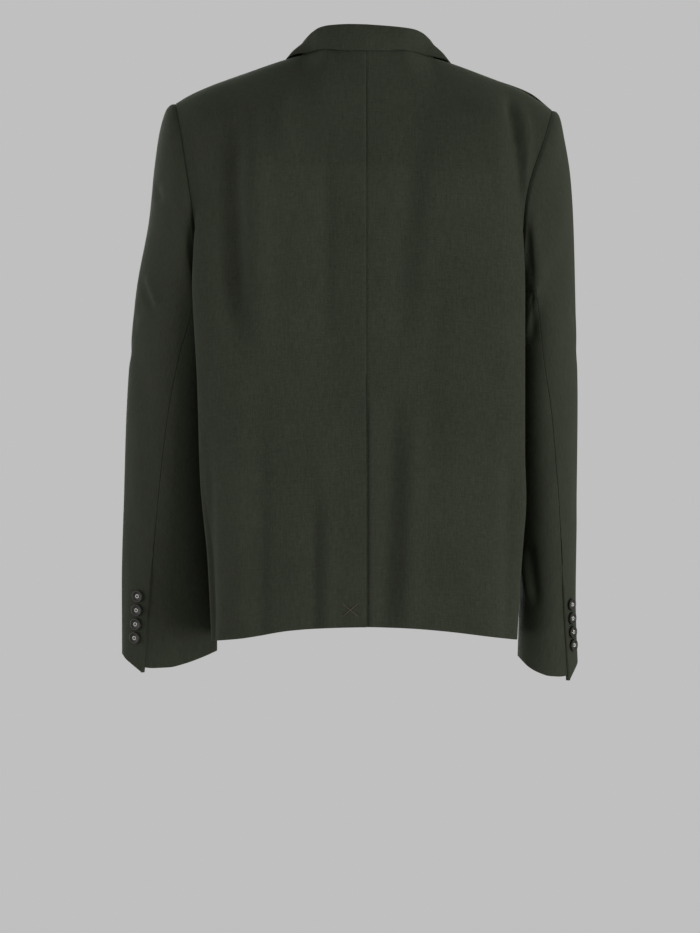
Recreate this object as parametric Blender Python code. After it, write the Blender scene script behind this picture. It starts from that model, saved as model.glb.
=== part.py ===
"""A tailored single-breasted blazer in wool, hung hollow and open at neck, hem and cuffs.

Metres, +Z up. The garment's front faces -Y and its back +Y; its left side is at +X. The
origin is in the middle of the neck opening, at the height where the shoulders hold it.
"""

import math

import bpy
import numpy as np


def table(columns, *rows):
    """The rows of a table, each with the names of its columns."""
    return tuple(dict(zip(columns.split(), row)) for row in rows)


CLOTH = 0.0020  # finished thickness of the cloth
COLLAR_CLOTH = 0.0017
LIE = 0.0005  # air between cloths that lie on each other
SEAM_GAP = 0.00045  # air between pieces at a seam
SEAM_SHARE = 0.0012  # the same at a seam inside a piece's grid, as a share of its width
TUCK = 0.008  # below the armhole the side is drawn in this far behind the sleeve
TUCK_SHARE = 0.55  # this far round from the back's corner to the side seam
TUCK_LEAST = 0.001
TUCK_LEVELS = (0.56, 0.68)  # levels over which the tuck dies out
UNDERARM_Z = -0.275  # height of the underarm in the sections
UNDERARM = 0.6  # level of the underarm, from the hem at 0 to the shoulder seam at 1
NECK_POINT = 0.4  # place of the neck point across the back, from the centre at 0 to the side at 1
STEP = 1e-4  # small step that slopes are measured over
TINY = 1e-12
SIGN = {"left": 1.0, "right": -1.0}

# Armholes: turn is the angle round the armhole from the shoulder tip, by the back.
ARMHOLE = {
    "left": table(
        "turn x y z",
        (0, 0.2307, -0.004, -0.0480),
        (45, 0.2235, 0.050, -0.0810),
        (90, 0.2105, 0.073, -0.1620),
        (135, 0.1975, 0.053, -0.2420),
        (180, 0.1740, 0.004, -0.2750),
        (225, 0.1760, -0.042, -0.2400),
        (270, 0.1900, -0.060, -0.1600),
        (315, 0.2150, -0.044, -0.0810),
    ),
    "right": table(
        "turn x y z",
        (0, 0.2259, -0.004, -0.0560),
        (45, 0.2150, 0.056, -0.0900),
        (90, 0.1910, 0.075, -0.1690),
        (135, 0.1840, 0.052, -0.2470),
        (180, 0.1720, 0.004, -0.2800),
        (225, 0.1740, -0.042, -0.2460),
        (270, 0.1880, -0.060, -0.1680),
        (315, 0.2120, -0.044, -0.0910),
    ),
}

# The body's sections, hem first, half a section in each row. On the back they give the height of the
# side seam, the depth of the centre, the neck line, blade and corner, and the side seam.
BACK_SECTIONS = table(
    "level side_z centre_y neck_x neck_y blade_x blade_y left_x right_x corner_y side_x side_y",
    (0.00, -0.694, 0.108, 0.090, 0.106, 0.148, 0.096, 0.1850, 0.1810, 0.066, 0.168, 0.022),
    (0.15, -0.600, 0.108, 0.092, 0.107, 0.153, 0.099, 0.1895, 0.1855, 0.069, 0.169, 0.020),
    (0.30, -0.500, 0.104, 0.094, 0.104, 0.158, 0.098, 0.1985, 0.1900, 0.071, 0.169, 0.018),
    (0.45, -0.385, 0.098, 0.095, 0.101, 0.160, 0.098, 0.2020, 0.1900, 0.073, 0.169, 0.014),
    (0.57, -0.297, 0.1030, 0.096, 0.1060, 0.161, 0.1010, 0.2068, 0.1900, 0.0748, 0.168, 0.006),
    (0.60, -0.275, 0.1045, 0.096, 0.1078, 0.161, 0.1020, 0.2078, 0.1900, 0.0757, 0.173, 0.004),
    (0.70, -0.240, 0.1075, 0.097, 0.1112, 0.160, 0.1042, 0.2052, 0.1880, 0.0783, 0.174, 0.004),
    (0.80, -0.165, 0.1068, 0.096, 0.1109, 0.157, 0.1040, 0.1970, 0.1825, 0.083, 0.174, 0.004),
    (0.90, -0.080, 0.1032, 0.090, 0.1082, 0.152, 0.1020, 0.1970, 0.1800, 0.086, 0.174, 0.004),
    (1.00, -0.048, 0.100, 0.077, 0.105, 0.150, 0.100, 0.1960, 0.1900, 0.086, 0.174, 0.004),
)

# On the front they give its corner and chest, and the depth of its edge.
FRONT_SECTIONS = table(
    "level flank_x flank_y chest_x chest_y edge_y",
    (0.00, 0.158, -0.066, 0.095, -0.104, -0.114),
    (0.15, 0.160, -0.069, 0.097, -0.108, -0.118),
    (0.30, 0.161, -0.072, 0.098, -0.111, -0.121),
    (0.45, 0.162, -0.074, 0.099, -0.114, -0.123),
    (0.57, 0.160, -0.075, 0.101, -0.117, -0.126),
    (0.60, 0.162, -0.076, 0.102, -0.118, -0.126),
    (0.70, 0.166, -0.080, 0.108, -0.118, -0.122),
    (0.80, 0.172, -0.080, 0.115, -0.112, -0.112),
    (0.90, 0.186, -0.076, 0.130, -0.098, -0.086),
    (1.00, 0.200, -0.072, 0.150, -0.090, -0.080),
)

# Heights of the top edge (neckline and shoulder seam) and of the hem, at the places across the
# back and the front.
BACK_EDGES = table(
    "place left_top right_top left_hem right_hem",
    (-NECK_POINT, 0.0110, 0.0075, -0.6828, -0.6838),
    (-NECK_POINT / 2, 0.0155, 0.0138, -0.6798, -0.6802),
    (0.0, 0.0155, 0.0155, -0.6785, -0.6785),
    (NECK_POINT / 2, 0.0155, 0.0138, -0.6798, -0.6802),
    (NECK_POINT, 0.0110, 0.0075, -0.6828, -0.6838),
    (0.62, -0.0125, -0.0163, -0.6925, -0.6905),
    (0.84, -0.0295, -0.0325, -0.6962, -0.6948),
    (0.93, -0.0385, -0.0445, -0.6952, -0.6945),
    (1.0, -0.0480, -0.0560, -0.6940, -0.6935),
)
FRONT_EDGES = table(
    "place left_top right_top left_hem right_hem",
    (1.0, -0.0480, -0.0560, -0.6940, -0.6935),
    (1.2, -0.0312, -0.0352, -0.6900, -0.6895),
    (1.55, -0.0125, -0.0163, -0.6860, -0.6855),
    (2.0, 0.0110, 0.0075, -0.6820, -0.6820),
)
SEAM_Y = -0.005  # depth of the shoulder seam
NAPE_Y = 0.058  # depth of the neckline at the centre back
NECK_WIDTH = {"left": 1.0, "right": 1.06}  # the neckline is wider where the shoulder hangs lower
SHOULDER_ROUND = 0.8  # how round the sections close in on the shoulder seam at the centre back
NECK_ROUND = 0.75  # and at the neck line
NECK_HALF = 0.54  # halfway to the neck point the neckline has gone this far out
NECK_CURVE = 0.2  # and this far forward
EDGE_BEND = 0.6  # share of the front edge that closes in as the sides do

# Front edges: the overlap past the centre, and the roll line that the lapel turns back on.
OVERLAP = 0.018
BREAK_Z = -0.385
ROLL_TOP_X = 0.077
FRONT_LIFT = 0.0080  # the left front stands this far out, over the right front and its lapel
LIFT_PLACES = (1.50, 1.78)
LIFT_LEVELS = (0.66, 0.84)

# The centre vent.
VENT_LEVEL = 0.375
VENT_LIFT = CLOTH + LIE
VENT_FLARE = 0.0030
VENT_CLOSES = 0.060  # levels over which the lap closes above the vent
LAP_PLACES = (0.19, 0.33)
UNDERLAP_COLUMNS = 2  # the vent's underlap is this many of the back's columns wide

# Largest folds of the back: each runs from its top to its bottom; a trough has a negative height.
FOLD_STARTS = (-0.15, 0.25)  # shares of a fold's length over which it deepens and fades
FOLD_FADES = (0.75, 1.15)
CALM_PLACES = (0.86, 0.97)  # places and levels over which the folds die out at the edges
CALM_LEVELS = (0.93, 0.99)
BACK_FOLDS = table(
    "top_x top_z end_x end_z wide height",
    (0.158, -0.060, 0.150, -0.340, 0.020, -0.0060),
    (0.048, -0.110, 0.040, -0.430, 0.028, -0.0035),
    (-0.056, -0.040, -0.074, -0.500, 0.026, -0.0040),
    (0.056, -0.520, 0.050, -0.720, 0.024, -0.0045),
    (0.150, -0.450, 0.132, -0.700, 0.022, -0.0040),
    (-0.040, -0.480, -0.032, -0.700, 0.022, -0.0030),
)

# Sleeve rings from the armhole to the cuff: where each ring's outer and inner points are, how
# deep it is, and at what angle from the outer point the hind-arm and fore-arm seams run.
RINGS = {
    "left": table(
        "run out_x out_z in_x in_z mid_y deep hind fore",
        (0.00, 0.2307, -0.0480, 0.1740, -0.275, 0.006, 0.0665, 120, 255),
        (0.05, 0.2400, -0.0530, 0.1785, -0.292, 0.006, 0.0680, 119, 254),
        (0.12, 0.2495, -0.0800, 0.1815, -0.315, 0.004, 0.0685, 118, 252),
        (0.20, 0.2562, -0.1250, 0.1825, -0.342, 0.000, 0.0670, 114, 250),
        (0.30, 0.2625, -0.1860, 0.1825, -0.374, -0.005, 0.0645, 108, 247),
        (0.42, 0.2790, -0.2780, 0.1820, -0.412, -0.009, 0.0600, 98, 243),
        (0.58, 0.2900, -0.4050, 0.1815, -0.470, -0.014, 0.0550, 86, 240),
        (0.75, 0.2952, -0.5400, 0.1815, -0.560, -0.026, 0.0450, 75, 240),
        (0.88, 0.2978, -0.6350, 0.1815, -0.642, -0.036, 0.0350, 66, 240),
        (1.00, 0.2978, -0.7170, 0.1815, -0.711, -0.042, 0.0290, 57, 240),
    ),
    "right": table(
        "run out_x out_z in_x in_z mid_y deep hind fore",
        (0.00, 0.2259, -0.0560, 0.1720, -0.280, 0.005, 0.0650, 120, 255),
        (0.05, 0.2340, -0.0625, 0.1770, -0.296, 0.005, 0.0675, 119, 254),
        (0.12, 0.2410, -0.0925, 0.1800, -0.318, 0.003, 0.0690, 116, 252),
        (0.20, 0.2480, -0.1370, 0.1810, -0.345, -0.001, 0.0690, 110, 250),
        (0.30, 0.2520, -0.1960, 0.1815, -0.376, -0.008, 0.0670, 105, 247),
        (0.42, 0.2545, -0.2850, 0.1815, -0.414, -0.012, 0.0670, 98, 243),
        (0.58, 0.2575, -0.4130, 0.1820, -0.472, -0.017, 0.0640, 82, 240),
        (0.75, 0.2570, -0.5500, 0.1845, -0.565, -0.027, 0.0590, 68, 240),
        (0.88, 0.2562, -0.6450, 0.1870, -0.648, -0.035, 0.0550, 59, 240),
        (1.00, 0.2585, -0.7220, 0.1855, -0.716, -0.040, 0.0510, 51, 240),
    ),
}
HEAD_RUN = 0.30  # the armhole's own shape dies out over this much of the sleeve
CUFF_DIP_RUN = 0.7  # from here to the cuff the sleeve drops toward its hem
CUFF_VENT = 0.855  # where the cuff's vent starts along the sleeve
CUFF_LAP = 2 / 15  # width of the cuff vent's underlap, as a share of the top sleeve
CUFF_CLOSES = 0.045  # the lap closes over this much of the sleeve above the vent
HEAD_LIFT = 0.0006  # the sleeve head stands off the armhole seam
HEAD_LIFT_RUN = 0.05

# How much lower the cuff hangs across its back, from the outer edge at 0 to the inner edge at 1.
CUFF_HEM = table(
    "share left_drop right_drop",
    (0.00, 0.0000, 0.0000),
    (0.20, 0.0156, 0.0205),
    (0.35, 0.0182, 0.0223),
    (0.50, 0.0182, 0.0224),
    (0.67, 0.0147, 0.0198),
    (0.84, 0.0088, 0.0142),
    (1.00, 0.0020, 0.0035),
)
CUFF_TIP = 0.0065  # at the vent the top sleeve hangs this much below the under sleeve

# The collar: fold and outer edge of the fall, from the centre back round to the front end.
COLLAR = table(
    "reach fold_x fold_y left_fold_z right_fold_z edge_x edge_y left_edge_z right_edge_z",
    (0.00, 0.000, 0.0530, 0.0425, 0.0425, 0.0000, 0.0630, 0.0108, 0.0106),
    (0.13, 0.023, 0.0505, 0.0432, 0.0412, 0.0222, 0.0603, 0.0108, 0.0105),
    (0.25, 0.044, 0.0420, 0.0427, 0.0400, 0.0430, 0.0520, 0.0130, 0.0120),
    (0.33, 0.055, 0.0350, 0.0410, 0.0388, 0.0570, 0.0330, 0.0140, 0.0114),
    (0.40, 0.063, 0.0240, 0.0368, 0.0360, 0.0690, 0.0110, 0.0129, 0.0098),
    (0.46, 0.070, 0.0090, 0.0315, 0.0310, 0.0810, 0.0010, 0.0124, 0.0080),
    (0.50, 0.074, -0.0040, 0.0270, 0.0262, 0.0952, -0.0060, 0.0084, 0.0042),
    (0.60, 0.077, -0.0200, 0.0185, 0.0165, 0.1012, -0.0210, 0.0008, -0.0040),
    (0.75, 0.078, -0.0400, 0.0030, 0.0000, 0.1080, -0.0460, -0.0200, -0.0262),
    (1.00, 0.070, -0.0720, -0.0360, -0.0390, 0.1180, -0.0785, -0.0555, -0.0625),
)
GORGE_ROW = 8  # row above the underarm where the collar ends and the lapel begins
FOLD_ROUND = 0.0034  # radius of the collar's fold
NOTCH = 0.16  # the collar's outer corner stops this much short of its front end
NOTCH_FROM = 0.8
NECK_REACH = 0.5  # reach of the neck point
WIDE_REACHES = (0.1, 0.5)
FRONT_INSET = 1.1

# Lapels: how far out from the centre the outer edge stands at each level.
LAPEL = table(
    "level out_x",
    (0.45, -0.0170),
    (0.50, 0.0280),
    (0.57, 0.0680),
    (0.68, 0.1020),
    (0.78, 0.1280),
    (0.87, 0.1500),
)
LAPEL_LIE = 0.0014  # the lapel stands this far off the front
LAPEL_ROLL = 0.0015  # and this much farther along its middle
LAPEL_TOP = 0.8  # level where the roll is full
BREAK_LEVEL = 0.45
LAPEL_CELLS = 4
LAPEL_TRIALS = 161
LAPEL_LEAST = 0.001
FALL_ROUND = 0.0015

# Buttons.
CUFF_BUTTON_ACROSS = 0.0150
CUFF_BUTTON_PLACE = 0.072
CUFF_BUTTON_RUNS = (0.877, 0.900, 0.924, 0.948)
BUTTON_SIDES = 18
BUTTON_LIE = 0.0007
FRONT_BUTTON_ACROSS = 0.0210
FRONT_BUTTON_Z = {"upper": -0.405, "lower": -0.505}
BUTTON_THICK = 0.0034
BUTTON_PROFILE = table(
    "share height",
    (0.80, 0.0),
    (1.00, 0.30),
    (1.00, 0.70),
    (0.86, 1.00),
    (0.72, 0.95),
    (0.56, 0.62),
)

# How finely the pieces are divided.
ARM_ROWS = 12
ARM_LEVELS = tuple(UNDERARM + (1 - UNDERARM) * row / ARM_ROWS for row in range(ARM_ROWS + 1))
LEVELS = (0.0, 0.05, 0.1, 0.15, 0.2, 0.25, 0.3125, 0.375, 0.42, 0.45, 0.5, 0.55) + ARM_LEVELS
GORGE_LEVEL = ARM_LEVELS[GORGE_ROW]
BACK_COLUMNS = (0.0, 0.085, 0.17, 0.25, 0.32, 0.4, 0.47, 0.54, 0.61, 0.68, 0.75, 0.82, 0.88, 0.94, 1.0)
FRONT_COLUMNS = (1.0 + STEP / 10, 1.06, 1.12, 1.2, 1.3, 1.4, 1.5, 1.6, 1.7, 1.8, 1.9, 2.0)
TOP_CELLS = 15
UNDER_CELLS = 9
CUFF_LAP_CELLS = 2
HEAD_RUNS = (0.0, 0.03, 0.06, 0.1, 0.15, 0.2, 0.26, 0.33)
RUNS = HEAD_RUNS + (0.42, 0.5, 0.58, 0.66, 0.74, 0.8, CUFF_VENT, 0.9, 0.95, 1.0)
NECK_REACHES = (0.0, 0.10625, 0.2125, 0.3125, 0.4)
COLLAR_REACHES = NECK_REACHES + tuple(np.linspace(0.5, 1.0, 9))

WOOL = dict(name="wool", colour=(0.030, 0.033, 0.024, 1.0), roughness=0.9)
HORN = dict(name="horn", colour=(0.018, 0.017, 0.013, 1.0), roughness=0.4)


def read(rows, column):
    """One column of a table."""
    return np.array([row[column] for row in rows], float)


def even_slopes(places, values):
    """Slopes at the places for a curve that never swings past its values."""
    gap = np.diff(places).reshape((-1,) + (1,) * (values.ndim - 1))
    secant = np.diff(values, axis=0) / gap
    before, after = secant[:-1], secant[1:]
    first, last = 2 * gap[1:] + gap[:-1], gap[1:] + 2 * gap[:-1]
    together = before * after > 0
    safe_before = np.where(together, before, 1.0)
    safe_after = np.where(together, after, 1.0)
    inner = np.where(together, (first + last) / (first / safe_before + last / safe_after), 0.0)
    return np.concatenate([secant[:1], inner, secant[-1:]])


def smooth(places, values, at):
    """A smooth curve through the values at the places, read at any place."""
    at = np.asarray(at, float)
    places = np.asarray(places, float)
    values = np.asarray(values, float)
    values = values.reshape(values.shape + (1,) * (at.ndim + 1 - values.ndim))
    values = np.broadcast_to(values, (len(places),) + at.shape)
    slopes = even_slopes(places, values)
    cell = np.clip(np.searchsorted(places, at, side="right") - 1, 0, len(places) - 2)
    width = places[cell + 1] - places[cell]
    t = (at - places[cell]) / width
    first = np.take_along_axis(values, cell[None], 0)[0]
    last = np.take_along_axis(values, cell[None] + 1, 0)[0]
    first_slope = np.take_along_axis(slopes, cell[None], 0)[0] * width
    last_slope = np.take_along_axis(slopes, cell[None] + 1, 0)[0] * width
    return (
        first * (2 * t**3 - 3 * t**2 + 1)
        + first_slope * (t**3 - 2 * t**2 + t)
        + last * (3 * t**2 - 2 * t**3)
        + last_slope * (t**3 - t**2)
    )


def ramp(low, high, at):
    """0 below low, 1 above high, and an even rise between."""
    t = np.clip((np.asarray(at, float) - low) / (high - low), 0, 1)
    return t * t * (3 - 2 * t)


def armhole(side, turn):
    """A point of the armhole seam at an angle from the shoulder tip, by the back."""
    rows = ARMHOLE[side]
    beyond = 3
    rows = rows[-beyond:] + rows + rows[:beyond]
    turns = np.arange(-beyond, len(ARMHOLE[side]) + beyond) * 360 / len(ARMHOLE[side])
    return [smooth(turns, read(rows, axis), np.mod(turn, 360)) for axis in "xyz"]


def folds(x, z):
    """How far the folds of the back raise a point."""
    raised = np.zeros_like(x)
    for fold in BACK_FOLDS:
        along = (z - fold["top_z"]) / (fold["end_z"] - fold["top_z"])
        middle = fold["top_x"] + (fold["end_x"] - fold["top_x"]) * np.clip(along, 0, 1)
        across = np.exp(-(((x - middle) / fold["wide"]) ** 2))
        raised += fold["height"] * across * ramp(*FOLD_STARTS, along) * (1 - ramp(*FOLD_FADES, along))
    return raised


def body(side, place, level):
    """A point of the body's outside. Places 0 to 1 cross the back, and 1 to 2 the front."""
    place, level = np.broadcast_arrays(np.asarray(place, float), np.asarray(level, float))
    sign = SIGN[side]
    across = np.abs(place)
    is_back = across <= 1
    wide = NECK_WIDTH[side]
    turn = 180 * (1 - np.clip((level - UNDERARM) / (1 - UNDERARM), 0, 1.2))
    above = level > UNDERARM
    hole = armhole(side, np.where(is_back, turn, 360 - turn))
    tip, under = ARMHOLE[side][0], ARMHOLE[side][4]
    rise = (hole[2] - under["z"]) / (tip["z"] - under["z"])
    height = np.where(above, UNDERARM + (1 - UNDERARM) * rise, level)
    knot = {}
    for rows in (BACK_SECTIONS, FRONT_SECTIONS):
        for name in rows[0]:
            knot[name] = smooth(read(rows, "level"), read(rows, name), height)
    fall = (knot["side_z"] - UNDERARM_Z) / (BACK_SECTIONS[0]["side_z"] - UNDERARM_Z)
    side_x = np.where(above, hole[0], knot["side_x"])
    side_y = np.where(above, hole[1], knot["side_y"])

    ends = {}
    for edge in ("top", "hem"):
        column = side + "_" + edge
        on_back = smooth(read(BACK_EDGES, "place"), read(BACK_EDGES, column), across)
        on_front = smooth(read(FRONT_EDGES, "place"), read(FRONT_EDGES, column), across)
        ends[edge] = np.where(is_back, on_back, on_front)
    z = np.where(
        above,
        under["z"] + (ends["top"] - under["z"]) * rise,
        under["z"] - (under["z"] - ends["hem"]) * fall,
    )

    # Toward the shoulder seam the sections close in on it: the sides first, the centre least.
    near_seam = above & (turn < 90)
    bend = np.where(near_seam, np.sin(np.radians(turn)), 1.0)
    slope = np.where(near_seam, (1 - np.cos(np.radians(turn))) ** SHOULDER_ROUND, 1.0)
    depth = {
        name: SEAM_Y + (knot[name] - SEAM_Y) * bend for name in ("blade_y", "corner_y", "flank_y", "chest_y")
    }
    centre_y = NAPE_Y + (knot["centre_y"] - NAPE_Y) * slope
    neck_y = SEAM_Y + (knot["neck_y"] - SEAM_Y) * (0.5 * bend + 0.5 * slope**NECK_ROUND)
    edge_y = SEAM_Y + (knot["edge_y"] - SEAM_Y) * (EDGE_BEND * bend + (1 - EDGE_BEND) * slope)

    # The back.
    corner_x = knot[side + "_x"]
    neck_x = knot["neck_x"] * wide
    tuck_x = corner_x + (side_x - corner_x) * TUCK_SHARE - TUCK * (1 - ramp(*TUCK_LEVELS, level))
    tuck_x = np.where(level < TUCK_LEVELS[1], np.maximum(tuck_x, side_x + TUCK_LEAST), tuck_x)
    tuck_y = depth["corner_y"] + (side_y - depth["corner_y"]) * TUCK_SHARE
    half_x = neck_x * NECK_HALF
    half_y = centre_y + (neck_y - centre_y) * NECK_CURVE
    knots_x = np.stack([-neck_x, -half_x, 0 * side_x, half_x, neck_x, knot["blade_x"], corner_x, tuck_x, side_x])
    knots_y = [neck_y, half_y, centre_y, half_y, neck_y, depth["blade_y"], depth["corner_y"], tuck_y, side_y]
    knots_y = np.stack(knots_y)
    back_x = smooth(read(BACK_EDGES, "place"), knots_x, across)
    back_y = smooth(read(BACK_EDGES, "place"), knots_y, across)

    # The front.
    roll_top = FRONT_EDGES[-1]
    edge_z = np.where(
        above,
        under["z"] + (roll_top[side + "_top"] - under["z"]) * rise,
        under["z"] - (under["z"] - roll_top[side + "_hem"]) * fall,
    )
    edge_x = np.interp(edge_z, (BREAK_Z, roll_top[side + "_top"]), (-OVERLAP, ROLL_TOP_X * wide))
    knots_x = np.stack([side_x, knot["flank_x"], knot["chest_x"], edge_x])
    knots_y = np.stack([side_y, depth["flank_y"], depth["chest_y"], edge_y])
    front_x = smooth(read(FRONT_EDGES, "place"), knots_x, across)
    front_y = smooth(read(FRONT_EDGES, "place"), knots_y, across)
    if side == "left":
        front_y = front_y - FRONT_LIFT * ramp(*LIFT_PLACES, across) * (1 - ramp(*LIFT_LEVELS, level))

    x = np.where(is_back, back_x, front_x) * np.where(place < 0, -1, 1) * sign
    y = np.where(is_back, back_y, front_y)
    calm = (1 - ramp(*CALM_PLACES, across)) * (1 - ramp(*CALM_LEVELS, level))
    y = y + np.where(is_back, folds(x, z) * calm, 0)
    if side == "left":
        laps = (1 - ramp(VENT_LEVEL, VENT_LEVEL + VENT_CLOSES, level)) * (1 - ramp(*LAP_PLACES, across))
        flare = VENT_FLARE * (1 - ramp(0, VENT_LEVEL, level))
        y = y + np.where(is_back, (VENT_LIFT + flare) * laps, 0)
    return np.stack([x, y, z], -1)


def sleeve(side, place, run):
    """A point of a sleeve. The hind-arm seam is at place 0, the fore-arm seam at 1 and -1."""
    place, run = np.broadcast_arrays(np.asarray(place, float), np.asarray(run, float))
    rows = RINGS[side]
    ring = {name: smooth(read(rows, "run"), read(rows, name), run) for name in rows[0]}
    turn = np.where(
        place >= 0,
        ring["hind"] - place * (ring["hind"] - ring["fore"] + 360),
        ring["hind"] - place * (ring["fore"] - ring["hind"]),
    )
    out, back = np.cos(np.radians(turn)), np.sin(np.radians(turn))
    half_out, half_in = (1 + out) / 2, (1 - out) / 2
    x = ring["out_x"] * half_out + ring["in_x"] * half_in
    z = ring["out_z"] * half_out + ring["in_z"] * half_in
    y = ring["mid_y"] + ring["deep"] * back

    # Near the armhole the ring takes the armhole's own shape.
    hole = dict(zip("xyz", armhole(side, turn)))
    first = rows[0]
    near = 1 - ramp(0.0, HEAD_RUN, run)
    x = x + near * (hole["x"] - first["out_x"] * half_out - first["in_x"] * half_in)
    z = z + near * (hole["z"] - first["out_z"] * half_out - first["in_z"] * half_in)
    y = y + near * (hole["y"] - first["mid_y"] - first["deep"] * back)

    # The hem drops across the back, in a straight line from the outer edge to the hind-arm seam.
    shares, drops = read(CUFF_HEM, "share"), read(CUFF_HEM, side + "_drop")
    seam_share = (1 - np.cos(np.radians(ring["hind"]))) / 2
    straight = (smooth(shares, drops, seam_share) + CUFF_TIP) * half_in / seam_share
    drop = np.where(place > 0, straight, smooth(shares, drops, half_in))
    drop = np.where(back > 0, drop, drops[-1] * half_in)
    z = z - drop * ramp(CUFF_DIP_RUN, 1.0, run)
    x = x + HEAD_LIFT * (2 - out) * (1 - ramp(0.0, HEAD_LIFT_RUN, run))
    return np.stack([x * SIGN[side], y, z], -1)


def clear_scene():
    """Removes whatever the scene holds."""
    for thing in list(bpy.data.objects):
        bpy.data.objects.remove(thing, do_unlink=True)


def unit(vector):
    """A direction of length 1."""
    return vector / np.maximum(np.linalg.norm(vector, axis=-1, keepdims=True), TINY)


def normals(surface, place, level, first, last):
    """Which way a surface faces, measured between the first and last place of the piece."""
    after, before = np.minimum(place + STEP, last), np.maximum(place - STEP, first)
    across = surface(after, level) - surface(before, level)
    along = surface(place, level + STEP) - surface(place, level - STEP)
    return unit(np.cross(across, along))


def grid_normals(grid):
    """Which way a grid of points faces, from the points beside each."""
    return unit(np.cross(np.gradient(grid, axis=1), np.gradient(grid, axis=0)))


def material(name, colour, roughness):
    """A plain material of one colour."""
    made = bpy.data.materials.new(name)
    made.use_nodes = True
    shader = made.node_tree.nodes["Principled BSDF"]
    shader.inputs["Base Color"].default_value = colour
    shader.inputs["Roughness"].default_value = roughness
    made.diffuse_color = colour
    return made


def solid(name, points, faces, stuff):
    """One closed body as an object, shaded smooth, with a material of its own."""
    mesh = bpy.data.meshes.new(name)
    mesh.from_pydata([tuple(point) for point in points], [], faces)
    mesh.polygons.foreach_set("use_smooth", [True] * len(mesh.polygons))
    mesh.update()
    made = bpy.data.objects.new(name, mesh)
    bpy.context.scene.collection.objects.link(made)
    made.data.materials.append(material(name + "_" + stuff["name"], stuff["colour"], stuff["roughness"]))
    return made


def drawn_back(edge, beside):
    """An edge moved square to its own run, toward the points beside it, off its seam."""
    run = unit(np.gradient(edge, axis=0))
    inward = beside - edge
    inward = inward - run * np.sum(inward * run, axis=-1, keepdims=True)
    return edge + unit(inward) * SEAM_GAP / 2


def pulled(grid):
    """A grid with its first and last rows and columns drawn back from the seams."""
    grid = grid.copy()
    grid[0] = drawn_back(grid[0], grid[1])
    grid[-1] = drawn_back(grid[-1], grid[-2])
    grid[:, 0] = drawn_back(grid[:, 0], grid[:, 1])
    grid[:, -1] = drawn_back(grid[:, -1], grid[:, -2])
    return grid


def wall(name, outside, facing, thick, keep=None):
    """A closed wall of cloth through a grid of points, inward from its outside. Keep marks its cells."""
    rows, columns = outside.shape[:2]
    if keep is None:
        keep = np.ones((rows - 1, columns - 1), bool)
    inside = outside - facing * thick
    used = np.zeros((rows, columns), bool)
    for down, over in ((0, 0), (0, 1), (1, 0), (1, 1)):
        used[down:rows - 1 + down, over:columns - 1 + over] |= keep
    number = np.full((rows, columns), -1)
    number[used] = np.arange(used.sum())
    count = int(used.sum())
    points = np.concatenate([outside[used], inside[used]])
    faces = []
    edges = set()
    for i, j in np.argwhere(keep):
        ring = [int(number[i, j]), int(number[i, j + 1]), int(number[i + 1, j + 1]), int(number[i + 1, j])]
        faces.append(ring)
        faces.append([count + corner for corner in reversed(ring)])
        edges.update(zip(ring, ring[1:] + ring[:1]))
    for first, last in edges:
        if (last, first) not in edges:
            faces.append([last, first, count + first, count + last])
    return solid(name, points, faces, WOOL)


def panel(name, surface, places, levels, outward, limits, keep=None):
    """A wall of cloth over a surface, at the places across it and the levels along it."""
    place, level = np.meshgrid(places, levels)
    grid = pulled(surface(place, level))
    facing = normals(surface, place, level, *limits)
    if outward < 0:
        grid = grid[:, ::-1]
        facing = -facing[:, ::-1]
        keep = None if keep is None else keep[:, ::-1]
    return wall(name, grid, facing, CLOTH, keep)


def body_of(side):
    """The body's surface on one side."""
    return lambda place, level: body(side, place, level)


def back(side):
    """Half of the back. The right one carries the vent's underlap."""
    columns = np.array(BACK_COLUMNS)
    keep = None
    if side == "right":
        columns = np.concatenate([-columns[UNDERLAP_COLUMNS:0:-1], columns])
        columns[UNDERLAP_COLUMNS] = SEAM_SHARE
        keep = np.ones((len(LEVELS) - 1, len(columns) - 1), bool)
        vented = np.array(LEVELS[1:]) <= VENT_LEVEL + STEP
        keep[:, :UNDERLAP_COLUMNS] = vented[:, None]
    panel("back_" + side, body_of(side), columns, LEVELS, -SIGN[side], (-1.0, 1.0), keep)


def front(side):
    """A front, from the side seam to its edge and roll line."""
    panel("front_" + side, body_of(side), FRONT_COLUMNS, LEVELS, -SIGN[side], (FRONT_COLUMNS[0], 2.0))


def lapel(side):
    """A lapel, laid on its front from the roll line outward."""
    surface = body_of(side)
    levels = np.array([level for level in LEVELS if BREAK_LEVEL <= level <= GORGE_LEVEL + STEP])
    share, level = np.meshgrid(np.linspace(0, 1, LAPEL_CELLS + 1), levels)
    out_x = smooth(read(LAPEL, "level"), read(LAPEL, "out_x"), levels)
    trial = np.linspace(2.0, 1.2, LAPEL_TRIALS)
    away = surface(trial[None, :], levels[:, None])[..., 0] * SIGN[side]
    reach = [np.interp(max(x, row[0] + LAPEL_LEAST), row, trial) for x, row in zip(out_x, away)]
    reach = np.array(reach)[:, None]
    place = reach + (2.0 - reach) * share
    facing = normals(surface, place, level, FRONT_COLUMNS[0], 2.0)
    roll = np.sin(np.pi * share) * ramp(BREAK_LEVEL, LAPEL_TOP, level)
    grid = surface(place, level)
    if side == "left":
        grid, facing, roll = grid[:, ::-1], -facing[:, ::-1], roll[:, ::-1]
    raised = grid + facing * (CLOTH + LAPEL_LIE + LAPEL_ROLL * roll)[..., None]
    wall("lapel_" + side, pulled(raised), facing, CLOTH)


def sleeve_of(side):
    """The sleeve's surface on one side."""
    return lambda place, run: sleeve(side, place, run)


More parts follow.
